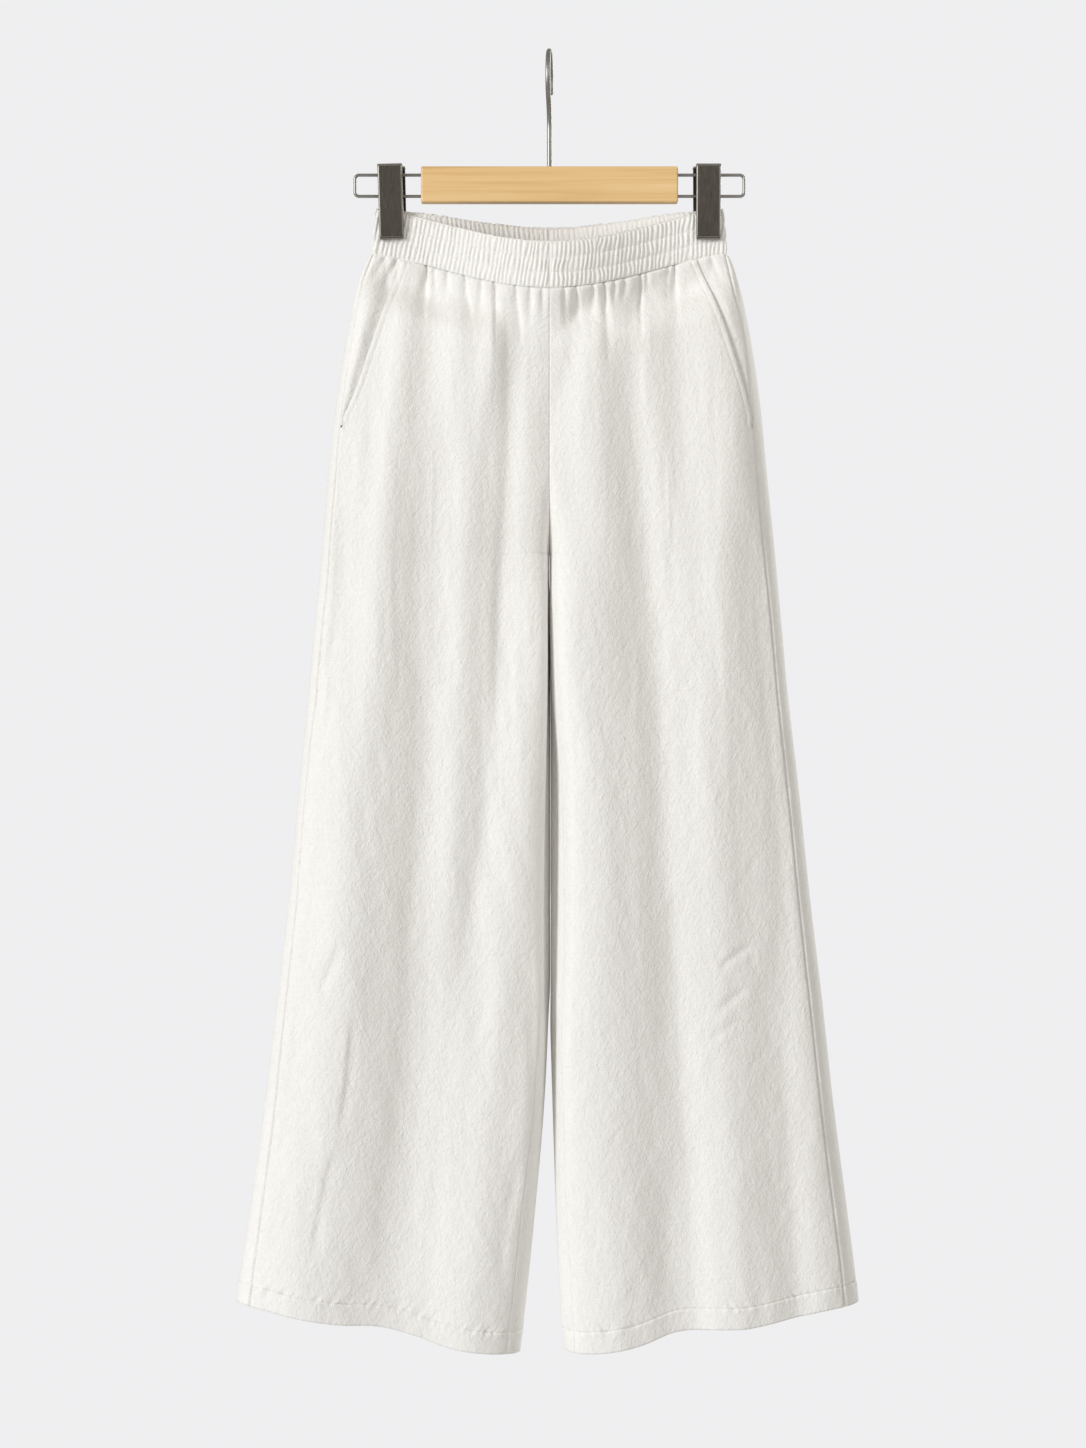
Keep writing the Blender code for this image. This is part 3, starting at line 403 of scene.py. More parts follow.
def plan(side, f, z, drop, folds=True):
    """Distance from the middle and depth of a place f on a ring."""
    s = side[0]
    out = level("out_" + s, z)
    inner = level("in_" + s, z)
    over = np.maximum(MIDDLE_GAP - inner, 0)
    inner = np.where(z > TOUCH_Z, MIDDLE_GAP - over * over / (over + MIDDLE_EASE), inner)
    inner = np.where(z <= CROTCH_Z, np.maximum(inner, MIDDLE_GAP), inner)
    crown = (out + inner) / 2
    square = level("square", z)
    below = z <= CROTCH_Z + 1e-6
    edge = np.where(below, inner + np.maximum(level("inseam_" + s, z), 0), np.maximum(inner, CENTRE))
    last = np.clip((crown - edge) / (crown - inner), 0, 1)
    q = f - 3
    t_front = last * (1 - np.clip(f, 0, 1) ** END_POWER)
    t_back = np.where(
        below,
        np.where(q < INNER_SHARE, 1 - (1 - np.clip(q / INNER_SHARE, 0, 1)) ** END_POWER,
                 1 - (1 - last) * np.clip((q - INNER_SHARE) / (1 - INNER_SHARE), 0, 1)),
        last * (1 - (1 - np.clip(q, 0, 1)) ** END_POWER))
    angle = np.where(f < 2, (f - 1) * math.pi / 2, (3 - f) * math.pi / 2)
    at_side = (f >= 1) & (f < 3)
    side_across = np.abs(np.sin(angle)) ** (2 / SIDE_SQUARE)
    side_deep = np.abs(np.cos(angle)) ** (2 / SIDE_SQUARE)
    t = np.clip(np.where(f < 1, t_front, t_back), 0, 1)
    a = np.where(at_side, crown + (out - crown) * side_across, crown - (crown - inner) * t)
    deep = np.where(at_side, side_deep, (1 - t ** square) ** (1 / square))
    is_front = (f < 2) | ((f >= 3) & below & (q > INNER_SHARE))
    full = deep * np.where(is_front, level("front", z), level("back", z))
    held = np.where(is_front, waist_depth(a, out, "front"), waist_depth(a, out, "back"))
    depth = held + (full - held) * smoother_step(np.clip(drop / BLEND_DROP, 0, 1))
    if folds:
        x = a * SIDES[side]
        room = smooth_step(np.minimum(out - a, 25) / 25)
        room = room * (1 - smooth_step((CROTCH_Z - z) / 60) * (1 - smooth_step((a - inner + 2) / 16)))
        shift = np.where(is_front, fold_shift(x, z, drop, "front"), fold_shift(x, z, drop, "back"))
        most = np.maximum(depth - HELD_APART, 0.05)
        shift = shift * room
        depth = depth - shift / (1 + (shift / most) ** 4) ** 0.25
    return a, np.where(is_front, -depth, depth), is_front


def detail(x, z, drop, layer):
    """How far the smaller creases and the crinkle of the cloth draw it in, on top of the folds."""
    total = np.zeros_like(x)
    for x0, z0, x1, z1, bend, depth, left, right in CREASES[layer]:
        way = np.array((x1 - x0, z1 - z0), float)
        long = np.linalg.norm(way)
        way /= long
        t = ((x - x0) * way[0] + (z - z0) * way[1]) / long
        d = (x - x0) * -way[1] + (z - z0) * way[0] - bend * 4 * t * (1 - t)
        reach = np.where(d > 0, right, left)
        fade = smooth_step(t / 0.3) * smooth_step((1 - t) / 0.3)
        total += depth * fade * bump(d, reach)
    for k, (across, along, tilt, depth, z_from, z_to) in enumerate(CRINKLE):
        grow = smooth_step((z_from - z) / 120 + 0.5) * smooth_step((z - z_to) / 120 + 0.5)
        warp = 0.35 * lumps(x / (3.1 * across), z / (0.8 * along), FINE_SEED + 40 + k)
        u = (x + tilt * z) / across + warp
        total += depth * grow * lumps(u, z / along, FINE_SEED + k + (0 if layer == "front" else 20))
    return total * smooth_step(drop / 10 + 0.15) + gather_shift(x, drop, layer)


def ring_grid(side, rows):
    """Rows of one half of the body: points, outward directions, length round, distance from the middle."""
    f = np.broadcast_to(PLACES, (len(rows), len(PLACES)))
    row = np.broadcast_to(rows[:, None], f.shape)
    z = np.where(row <= 1, SEAM_Z + row * (CROTCH_Z - SEAM_Z), CROTCH_Z - (row - 1) * LEG_ROWS)
    drop = np.maximum(SEAM_Z - z, 0)
    s = side[0]
    for _ in range(3):
        a = plan(side, f, z, drop, folds=False)[0]
        inner, outer = level("in_" + s, z), level("out_" + s, z)
        u = (a - np.maximum(inner, 0)) / (outer - np.maximum(inner, 0))
        z_front, top_front = row_height(side, row, a, u, "front")
        z_back, top_back = row_height(side, row, a, u, "back")
        z = np.where(f < 2, z_front, z_back)
        drop = np.where(f < 2, top_front, top_back) - z
    a, y, is_front = plan(side, f, z, drop)
    points = np.stack([a * SIDES[side], y, z], axis=2)
    # Legs that meet in the middle lie in one wavy line, so that no light shows between them
    low = smooth_step((CROTCH_Z - z) / 60)
    near = smooth_step((10 - a) / 8) * low * smooth_step((z + 860) / 40)
    points[:, :, 0] += 1.0 * np.sin(y / 6.0) * near
    parting = through(-np.array(PARTING_LEVELS, float), PARTING[side], -z) * low
    points[:, :, 0] += SIDES[side] * parting * smooth_step((6 - y) / 18) * (1 - smooth_step((a - inner) / 70))
    step = np.gradient(points[:, :, :2], axis=1)
    step /= np.maximum(np.linalg.norm(step, axis=2), 1e-9)[:, :, None]
    outward = SIDES[side] * np.stack([step[:, :, 1], -step[:, :, 0]], axis=2)
    # At the middle seam both halves move the same way
    middle = (1 - smooth_step(a / 14)) * (1 - low) * np.where(PLACES < 2, -1, 1)
    outward[:, :, 1] = outward[:, :, 1] * (1 - np.abs(middle)) + middle
    outward[:, :, 0] *= 1 - np.abs(middle)
    outward = unit(outward)
    step = np.linalg.norm(np.diff(points[:, :, :2], axis=1), axis=2)
    length = np.concatenate([np.zeros((len(rows), 1)), np.cumsum(step, axis=1)], axis=1)
    outer = level("out_" + s, z)
    x = points[:, :, 0]
    room = smooth_step((outer - a) / 9)
    off_inseam = smooth_step((a - np.maximum(level("in_" + s, z), 0) + 1) / 9)
    room = room * (1 - smooth_step((CROTCH_Z - z) / 40) * (1 - off_inseam))
    shift = np.where(is_front, detail(x, z, drop, "front"), detail(x, z, drop, "back")) * room
    points[:, :, :2] -= outward * shift[:, :, None]
    return {"points": points, "outward": outward, "length": length, "a": a, "rows": rows, "side": side}


def place_of(ring, r, target):
    """Length along the front of a ring at which it is this far from the middle."""
    a = ring["a"][r, :OUTER_EDGE]
    return float(np.interp(target, a, ring["length"][r, :OUTER_EDGE]))


def side_seam(ring, r):
    z = ring["points"][r, OUTER_EDGE, 2]
    s = ring["side"][0]
    return place_of(ring, r, level("out_" + s, z) - level("seam_" + s, z))


def slant(ring, r):
    """Length at the pocket edge, or None below the pocket."""
    z = ring["points"][r, OUTER_EDGE, 2]
    if z < SLANT_END or ring["rows"][r] >= 1:
        return None
    table = np.array(SLANT, float)
    column = SLANT_COLUMNS.index(ring["side"])
    return place_of(ring, r, through(-table[:, 0], table[:, column], -z))


def sample(ring, r, lengths, inset):
    """Points and outward directions at these lengths round a row, moved in by the inset."""
    at = along(lengths, ring["length"][r], ring["points"][r])
    way = unit(along(lengths, ring["length"][r], ring["outward"][r]))
    at[:, :2] -= way * np.asarray(inset, float).reshape(-1, 1)
    return at, way


# ---- meshes ----


def link(name, mesh):
    obj = bpy.data.objects.new(name, mesh)
    bpy.context.scene.collection.objects.link(obj)
    return obj


def make_mesh(name, points, faces, kind, uv=None, smooth=True):
    """A mesh from points in mm and an array of triangles or quads."""
    mesh = bpy.data.meshes.new(name)
    points = np.asarray(points, float).reshape(-1, 3) * MM
    faces = np.asarray(faces, np.int32)
    mesh.vertices.add(len(points))
    mesh.vertices.foreach_set("co", points.astype(np.float32).ravel())
    mesh.loops.add(faces.size)
    mesh.loops.foreach_set("vertex_index", faces.ravel())
    mesh.polygons.add(len(faces))
    mesh.polygons.foreach_set("loop_start", np.arange(len(faces), dtype=np.int32) * faces.shape[1])
    mesh.polygons.foreach_set("use_smooth", np.full(len(faces), smooth))
    if uv is not None:
        layer = mesh.uv_layers.new(name="Cloth")
        layer.data.foreach_set("uv", np.asarray(uv, np.float32).reshape(-1, 2)[faces.ravel()].ravel())
    mesh.update(calc_edges=True)
    mesh.validate()
    mesh.materials.append(MATERIALS[kind])
    return link(name, mesh)


def grid_faces(rows, columns, flip):
    r, c = np.meshgrid(np.arange(rows - 1), np.arange(columns - 1), indexing="ij")
    i = (r * columns + c).ravel()
    quads = np.stack([i, i + 1, i + columns + 1, i + columns], axis=1)
    return quads[:, ::-1] if flip else quads


def sheet_mesh(name, grid, uv, flip, kind="cloth"):
    rows, columns = grid.shape[:2]
    return make_mesh(name, grid, grid_faces(rows, columns, flip), kind, uv)


# ---- panels ----

EDGE_STEPS = np.array((0.0, 0.3, 0.7, 1.2, 1.9, 2.9, 4.3))
SEAM_DEPTH = 1.35
SEAM_REACH = 0.85
MIDDLE_DEPTH = 0.4
SEAM_DIP = 1.2
ALLOWANCE = 8.0
POCKET_TURN = 12.0  # allowance turned in at the pocket edge
TUCK = 0.55
TOPSTITCH = 5.2  # from the pocket edge


def columns_between(start, end, count):
    """Lengths from edge to edge with small steps near both."""
    steps = EDGE_STEPS * min(1.0, (end - start) / 30)
    inner = np.linspace(start + steps[-1], end - steps[-1], count - 2 * len(steps) + 2)
    return np.concatenate([start + steps[:-1], inner, end - steps[:-1][::-1]])


def with_turns(at, inset, start_turn, end_turn, deep):
    """Adds the allowance turned to the inside at both edges."""
    head = at[0] + np.array((start_turn, 0.5 * start_turn, 0.25))
    tail = at[-1] - np.array((0.25, 0.5 * end_turn, end_turn))
    at = np.concatenate([head, at, tail])
    inset = np.concatenate([np.full(3, deep[0]), inset, np.full(3, deep[1])])
    return at, inset


def seam_groove(d):
    return SEAM_DEPTH * bump(d, SEAM_REACH) - 0.22 * bump(d - 2.3, 1.1)


def edge_groove(d, style):
    """The groove along a panel's edge: side seam, middle seam or inseam, or the folded pocket edge."""
    if style == "seam":
        return seam_groove(d)
    if style == "middle":
        return MIDDLE_DEPTH * bump(d, 0.8)
    return 0.3 * bump(d, 0.5) + 0.4 * bump(d - TOPSTITCH, 0.9) - 0.25 * bump(d - TOPSTITCH / 2, 1.6)


def hem_relief(length, above, seed):
    """Puckers and the stitch groove at the top of the hem band, by height above that stitch line."""
    slanted = length + 0.7 * np.maximum(above, 0)
    ripple = lumps(slanted / 4.4, np.full_like(length, 0.5), seed)
    ripple = ripple + 0.5 * lumps(slanted / 2.4, length * 0, seed + 1)
    waves = lumps(length / 19.0, length * 0, seed + 2)
    grow = 0.6 + 0.5 * lumps(length / 30.0, length * 0 + 0.5, seed + 3)
    puckers = 1.25 * ripple * bump(above, np.where(above > 0, 6.0, 3.5)) * grow
    band = 0.45 * waves * smooth_step((6 - above) / 8) - 0.5 * smooth_step((0.6 - above) / 1.4)
    return 0.75 * bump(above, 0.8) + puckers + band


def body_rows():
    """Rows in nominal mm below the waist seam, closer near the seam and the hem stitches."""
    high = SEAM_Z - CROTCH_Z
    total = high + LEG_ROWS
    stitch = total - HEM_BAND
    near_seam = np.array((0.0, 0.4, 0.9, 1.6, 2.5, 3.6, 5.0, 6.6))
    near_stitch = np.array((-5.0, -3.6, -2.6, -1.8, -1.1, -0.5, 0.0, 0.5, 1.1, 1.8, 2.6, 3.6, 5.0)) + stitch
    count = int(ROWS * (stitch - 5 - 6.6) / total)
    middle = np.linspace(6.6, stitch - 5, count + 2)[1:-1]
    low = np.linspace(stitch + 5, total, 9)[1:]
    down = np.concatenate([near_seam, middle, near_stitch, low])
    return np.where(down <= high, down / high, 1 + (down - high) / LEG_ROWS), down, stitch


ROW_LIST, ROW_DOWN, STITCH_DOWN = body_rows()
HEM_INSIDE = 1.0
TOP_TUCK = ((7.0, 1.25), (1.0, 1.0))


def cloth_uv(ring, r, at, down):
    """Place on the cloth in metres, across from the outermost line of the leg."""
    return np.stack([at - ring["length"][r, OUTER_EDGE], np.full(len(at), down)], axis=1) * MM


def tuck_top(grid, uv, way, behind):
    """Adds the rows that tuck into the band before the last row. behind is how far in each place is."""
    seam = grid[-1]
    for rise, more in TOP_TUCK:
        tucked = seam.copy()
        tucked[:, 2] += rise
        tucked[:, :2] -= way * np.maximum(more - behind, 0)[:, None]
        grid.insert(-1, tucked)
        uv.insert(-1, uv[-1] + (0, rise * MM))


def panel(name, ring, edges, count, turns, grooves):
    """A front or back, row by row, with its allowances, its top tucked into the band and its hem."""
    grid, uv = [], []
    rows = len(ROW_LIST)
    for r in range(rows):
        start, end = edges(r)
        at = columns_between(start, end, count)
        inset = np.zeros(len(at))
        deep = []
        for k, d in enumerate((at - start, end - at)):
            style = grooves(r)[k]
            inset += edge_groove(d, style)
            deep.append(float(edge_groove(np.zeros(1), style)[0]) + TUCK)
        inset += SEAM_DIP * bump(ROW_DOWN[r], 1.2)
        above = STITCH_DOWN - ROW_DOWN[r]
        if above < 40:
            inset += hem_relief(at, np.full(len(at), above), 5 if "left" in name else 9) * np.clip(
                np.minimum(at - start, end - at) / 4, 0, 1)
        at, inset = with_turns(at, inset, *turns(r), deep)
        points, way = sample(ring, r, at, inset)
        grid.append(points)
        uv.append(cloth_uv(ring, r, at, -ROW_DOWN[r]))
        if r == 0:
            tuck_top(grid, uv, way, np.zeros(len(way)))
    hem_ways = ((rows - 1, 0.5, -0.4), (rows - 1, HEM_INSIDE, 0.0), (rows - 4, HEM_INSIDE, 0.0),
                (rows - 8, HEM_INSIDE, 0.0), (rows - 14, HEM_INSIDE, 0.0), (rows - 15, 0.6, 0.0))
    for r, more, dz in hem_ways:
        start, end = edges(r)
        at = columns_between(start, end, count)
        inset = seam_groove(at - start) + seam_groove(end - at) + more
        at, inset = with_turns(at, inset, *turns(r), (SEAM_DEPTH + 0.9, SEAM_DEPTH + 0.9))
        points, _way = sample(ring, r, at, inset)
        points[:, 2] += dz
        grid.append(points)
        uv.append(cloth_uv(ring, r, at, ROW_DOWN[r] - 2 * ROW_DOWN[-1]))
    return sheet_mesh(name, np.array(grid), np.array(uv), SIDES[ring["side"]] < 0)


def build_front(side, ring):
    def edges(r):
        edge = slant(ring, r)
        return 0.0, side_seam(ring, r) if edge is None else edge

    def turns(r):
        return ALLOWANCE, ALLOWANCE if slant(ring, r) is None else POCKET_TURN

    def grooves(r):
        return "middle", "seam" if slant(ring, r) is None else "edge"

    return panel("front_panel_" + side, ring, edges, FRONT_COLUMNS, turns, grooves)


def build_back(side, ring):
    def edges(r):
        return side_seam(ring, r), ring["length"][r, -1]

    def turns(_r):
        return ALLOWANCE, ALLOWANCE

    def grooves(_r):
        return "seam", "middle"

    return panel("back_panel_" + side, ring, edges, BACK_COLUMNS, turns, grooves)


def build_hip(side, ring):
    """The hip piece with the bag behind the front, and the front of the bag."""
    outer, outer_uv, lining, lining_uv = [], [], [], []
    for r, row in enumerate(ROW_LIST):
        edge = slant(ring, r)
        if edge is None:
            continue
        seam = side_seam(ring, r)
        bag = np.linspace(edge * (1 - BAG_SHARE), edge, BAG_COLUMNS)
        shown = columns_between(edge + 0.2, seam, HIP_COLUMNS)
        at = np.concatenate([bag, shown])
        deeper = BAG_STEP * smooth_step((row - 0.05) / 0.1)
        bare = smooth_step((at - edge) / min(max(seam - edge, 1.0), 12.0))
        behind = (BAG_BEHIND + deeper * (1 - smooth_step((at - edge) / 10))) * (1 - bare)
        behind[BAG_COLUMNS:] += seam_groove(seam - shown)
        at = np.concatenate([at, [seam - 0.25, seam - 4.0]])
        behind = np.concatenate([behind, [SEAM_DEPTH + TUCK] * 2])
        points, way = sample(ring, r, at, behind)
        outer.append(points)
        outer_uv.append(cloth_uv(ring, r, at, -ROW_DOWN[r]))
        if r == 0:
            tuck_top(outer, outer_uv, way, behind)
        if deeper >= BAG_STEP:
            points, _way = sample(ring, r, bag[:-1] - 0.4, np.full(len(bag) - 1, BAG_BEHIND + 0.1))
            lining.append(points)
            lining_uv.append(cloth_uv(ring, r, bag[:-1], -ROW_DOWN[r]))
    flip = SIDES[side] < 0
    hip = sheet_mesh("hip_piece_" + side, np.array(outer), np.array(outer_uv), flip)
    inner = sheet_mesh("pocket_lining_" + side, np.array(lining), np.array(lining_uv), flip)
    return hip, inner


# ---- waistband ----

RIB_STEPS = 8
CHANNEL_STEPS = 9


def band_line(half, layer):
    a = np.concatenate([np.linspace(CENTRE, half - PINCH, 300), half - PINCH + PINCH * np.sin(
        np.linspace(0, math.pi / 2, 24)[1:])])
    depth = waist_depth(a, half, layer)
    return np.stack([a, -depth if layer == "front" else depth], axis=1)


def band_ring(share):
    half = BAND_TOP_HALF + (BAND_LOW_HALF - BAND_TOP_HALF) * share
    front = band_line(half, "front")
    line = np.concatenate([front, band_line(half, "back")[::-1][1:]])
    step = unit(np.gradient(line, axis=0))
    outward = np.stack([step[:, 1], -step[:, 0]], axis=1)
    outward[0] = (0, -1)
    outward[-1] = (0, 1)
    return line, outward, run_along(line), len(front) - 1


def rib_relief(side, rib, share, inside):
    """How far the shirred ribs stand out: rib counts along the band, share runs down it."""
    channel = share * BAND_CHANNELS
    puff = np.abs(np.sin(math.pi * channel)) ** 0.55
    seed = FINE_SEED + (60 if side == "left" else 70) + (5 if inside else 0)
    lean = RIB_LEAN[side]
    own = 0.34 * lumps(rib / 2.3, channel * RIB_CHANGE[side] + 3, seed)
    own = own + 0.12 * lumps(rib / 1.1, channel, seed + 1)
    phase = rib + lean * (share - 0.5) + own
    ridge = 0.5 + 0.5 * np.cos(2 * math.pi * phase)
    ridge = ridge ** 0.8
    size = 0.78 + 0.3 * lumps(rib / 1.4, channel * 1.3, seed + 2)
    tall = (0.9 if inside else 1.5) * size
    row_line = 0.35 + 0.65 * puff if side == "right" else 0.55 + 0.45 * puff
    return tall * ridge * row_line + 0.45 * puff


def build_band(side):
    """One half: outside from the seam up, over the top, and down the inside, all one folded piece."""
    count = (BAND_RIBS["front"] + BAND_RIBS["back"]) * RIB_STEPS
    split = BAND_RIBS["front"] * RIB_STEPS
    rib = np.arange(count + 1) / RIB_STEPS
    outside = np.linspace(1, 0, BAND_CHANNELS * CHANNEL_STEPS + 1)
    grid, uv = [], []
    run = 0.0
    ends = smooth_step(np.minimum(rib, rib[-1] - rib) / 0.6)

    def add(share, offset, rise):
        nonlocal run
        line, outward, length, turn = band_ring(share)
        at = np.concatenate([np.linspace(0, length[turn], split + 1),
                             np.linspace(length[turn], length[-1], count - split + 1)[1:]])
        across, depth = along(at, length, line).T
        way = unit(along(at, length, outward))
        drop = np.where(at < length[turn], sag(across, "front"), sag(across, "back"))
        a = np.maximum(across + way[:, 0] * offset, CENTRE)
        z = SEAM_Z + BAND_HEIGHT * (1 - share) - drop + rise
        grid.append(np.stack([a * SIDES[side], depth + way[:, 1] * offset, z], axis=1))
        run += BAND_HEIGHT / (BAND_CHANNELS * CHANNEL_STEPS)
        uv.append(np.stack([at, np.full(len(at), run)], axis=1) * MM)

    edge_wave = 0.5 * lumps(rib * 0.9, rib * 0, FINE_SEED + 90) * ends
    for share in outside:
        relief = rib_relief(side, rib, np.full_like(rib, share), False) * ends
        hem_in = 0.7 * bump(share * BAND_HEIGHT, 1.2) + 0.5 * bump((1 - share) * BAND_HEIGHT, 1.0)
        add(share, relief - 1.15 - hem_in * ends, 0.0)
        if share == 0:
            top = relief
    add(0.0, 0.5 * (top - 1.85) - 0.6, 0.55 + edge_wave)
    for share in np.linspace(0, 1, BAND_CHANNELS * 5 + 1):
        relief = rib_relief(side, rib, np.full_like(rib, share), True) * ends
        hem_in = 0.5 * bump(share * BAND_HEIGHT, 1.5)
        add(share, -1.35 - relief + hem_in, 0.0)
    return sheet_mesh("waistband_cloth_" + side, np.array(grid), np.array(uv), SIDES[side] > 0)


# ---- threads ----

THREAD_R = 0.17
THREAD_STEPS = ((0.0, 0.5, -0.20), (0.2, 0.95, 0.02), (0.5, 1.0, 0.08), (0.8, 0.95, 0.02), (1.0, 0.5, -0.20))


def tree_of(*pieces):
    points, faces = [], []
    for piece in pieces:
        start = len(points)
        points += [v.co.copy() / MM for v in piece.data.vertices]
        faces += [[start + i for i in p.vertices] for p in piece.data.polygons]
    return BVHTree.FromPolygons(points, faces)


def threads(name, tree, pairs, radius=THREAD_R):
    """Short threads from point to point that lie on the cloth and dip into it at their ends."""
    sides = 5
    points = []
    for start, end in pairs:
        start, end = np.asarray(start, float), np.asarray(end, float)
        way = (end - start) / np.linalg.norm(end - start)
        for t, wide, lift in THREAD_STEPS:
            on, normal, _face, _far = tree.find_nearest(Vector(start + (end - start) * t))
            on, normal = np.array(on), np.array(normal)
            across = np.cross(way, normal)
            across /= np.linalg.norm(across)
            up = np.cross(across, way)
            centre = on + normal * lift
            for k in range(sides):
                turn = 2 * math.pi * k / sides
                points.append(centre + radius * wide * (math.cos(turn) * across + math.sin(turn) * up))
    steps = len(THREAD_STEPS)
    faces = []
    for k in range(len(pairs)):
        for r in range(steps - 1):
            for c in range(sides):
                d = (c + 1) % sides
                base = k * steps * sides + r * sides
                faces.append((base + c, base + d, base + sides + d, base + sides + c))
    piece = make_mesh(name, points, faces, "thread")
    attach(piece, "root")
    return piece


def stitches_along(points, pitch=3.2, share=0.74, shift=0.0):
    """Pairs of ends of the stitches along a line."""
    points = np.asarray(points, float)
    run = run_along(points)
    starts = np.arange(shift, run[-1] - pitch, pitch)
    return list(zip(along(starts, run, points), along(starts + pitch * share, run, points)))


def sew(side, ring, front, back, hip, band):
    body = tree_of(front, back)
    r = int(np.argmin(np.abs(ROW_DOWN - STITCH_DOWN)))
    at = np.arange(2.0, ring["length"][r, -1] - 2.0, 1.0)
    line, way = sample(ring, r, at, 0.3)
    threads("hem_stitches_" + side, body, stitches_along(line))
    rows = [k for k in range(4, len(ROW_LIST)) if slant(ring, k) is not None]
    line = [sample(ring, k, [slant(ring, k) - TOPSTITCH], 0)[0][0] for k in rows]
    threads("pocket_stitches_" + side, tree_of(front), stitches_along(line))
    last = rows[-1]
    bar = []
    for k in np.arange(0, TACK[1], TACK_PITCH):
        fall = np.array((SIDES[side] * 0.05 * k, 0, -k))
        middle = sample(ring, last, [slant(ring, last) - 0.4], -0.1)[0][0] + (0, 0, 3.5) + fall
        half = np.array((TACK[0] / 2, 0, 0.12 if int(k / TACK_PITCH) % 2 else -0.12))
        bar.append((middle - half, middle + half))
    threads("pocket_tack_" + side, tree_of(front, hip), bar, TACK_R)
    rib_tree = tree_of(band)
    rows = []
    for channel in range(1, BAND_CHANNELS):
        share = channel / BAND_CHANNELS
        line, outward, _length, turn = band_ring(share)
        drop = np.where(np.arange(len(line)) < turn, sag(line[:, 0], "front"), sag(line[:, 0], "back"))
        for offset in (0.4, -2.6):
            spot = line + outward * offset
            z = SEAM_Z + BAND_HEIGHT * (1 - share) - drop
            path = np.stack([np.maximum(spot[:, 0], 0.6) * SIDES[side], spot[:, 1], z], axis=1)
            rows += stitches_along(path, 2.6, 0.8, 0.5)
    threads("band_stitches_" + side, rib_tree, rows, 0.15)


def build_clothes(side):
    """One half of the garment with its threads. The panels hang from the band, the band from the clip."""
    ring = ring_grid(side, ROW_LIST)
    front, back = build_front(side, ring), build_back(side, ring)
    hip, lining = build_hip(side, ring)
    band = build_band(side)
    pieces = {"front": front, "back": back, "pocket_back": hip, "pocket_front": lining, "waistband": band}
    for kind, piece in pieces.items():
        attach(piece, "root")
        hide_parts(*[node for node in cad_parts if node.startswith(f"{kind}_{side}")])
    sew(side, ring, front, back, hip, band)


# ---- hanger ----


def finish_piece(piece, slot, *nodes):
    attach(piece, "root")
    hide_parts(*nodes)


def tube(name, path, radius, kind, sides=18):
    """A wire with rounded ends."""
    path = np.asarray(path, float)
    ways = unit(np.gradient(path, axis=0))
    angles = np.radians((0, 25, 50, 72, 85))[::-1]
    head = [(path[0] - ways[0] * radius * math.sin(t), ways[0], radius * math.cos(t)) for t in angles]
    tail = [(path[-1] + ways[-1] * radius * math.sin(t), ways[-1], radius * math.cos(t)) for t in angles[::-1]]
    rings = head + [(p, w, radius) for p, w in zip(path[1:-1], ways[1:-1])] + tail
    first = np.cross(ways[0], (1.0, 0.3, 0.2))
    grid = []
    for middle, way, wide in rings:
        first = first - way * np.dot(first, way)
        first /= np.linalg.norm(first)
        second = np.cross(way, first)
        turn = np.linspace(0, 2 * math.pi, sides + 1)[:, None]
        grid.append(middle + wide * (np.cos(turn) * first + np.sin(turn) * second))
    return make_mesh(name, np.array(grid)[:, :-1], ring_faces(len(grid), sides), kind)


def ring_faces(rows, sides):
    r, c = np.meshgrid(np.arange(rows - 1), np.arange(sides), indexing="ij")
    i, j = (r * sides + c).ravel(), (r * sides + (c + 1) % sides).ravel()
    return np.stack([i, j, j + sides, i + sides], axis=1)


def bezier(a, b, c, d, count):
    t = np.linspace(0, 1, count)[:, None]
    a, b, c, d = (np.asarray(v, float) for v in (a, b, c, d))
    return (1 - t) ** 3 * a + 3 * (1 - t) ** 2 * t * b + 3 * (1 - t) * t * t * c + t ** 3 * d


def build_hook():
    mid = np.array((0.0, HOOK_R - HOOK_RING))
    angles = np.radians(np.linspace(HOOK_TIP, HOOK_NECK, 72))
    arc = mid + HOOK_RING * np.stack([np.cos(angles), np.sin(angles)], axis=1)
    end = arc[-1]
    way = np.array((-math.sin(angles[-1]), math.cos(angles[-1])))
    stem_top = np.array((0.0, STEM_TOP))
    neck = bezier(end, end + way * 9, stem_top + (0, 11.0), stem_top, 24)[1:]
    foot = np.array([(0.0, STEM_TOP - 14), (0.0, BAR_Z + BAR[2] / 2 - 12)])
    flat = np.concatenate([arc, neck, foot])
    turn = math.radians(HOOK_TURN)
    path = np.stack([flat[:, 0] * math.sin(turn), flat[:, 0] * math.cos(turn), flat[:, 1]], axis=1)
    finish_piece(tube("hook_wire", path, HOOK_R, "wire"), "wire", "hanger_hook")


def build_wire(side):
    s = SIDES[side]
    inside = BAR[0] / 2 - 8
    turn = np.linspace(0, math.pi / 2, 12)
    high, low = WIRE_Z
    upper = [(WIRE_END - WIRE_BEND + WIRE_BEND * math.sin(t), high - WIRE_BEND + WIRE_BEND * math.cos(t))
             for t in turn]
    lower = [(x, high + low - z) for x, z in reversed(upper)]
    flat = [(inside, high), (inside + 20, high)] + upper + lower + [(inside + 20, low), (inside, low)]
    path = [(x * s, 0.0, z) for x, z in flat]
    finish_piece(tube("side_wire_" + side, path, WIRE_R, "wire"), "wire", "hanger_wire_" + side)


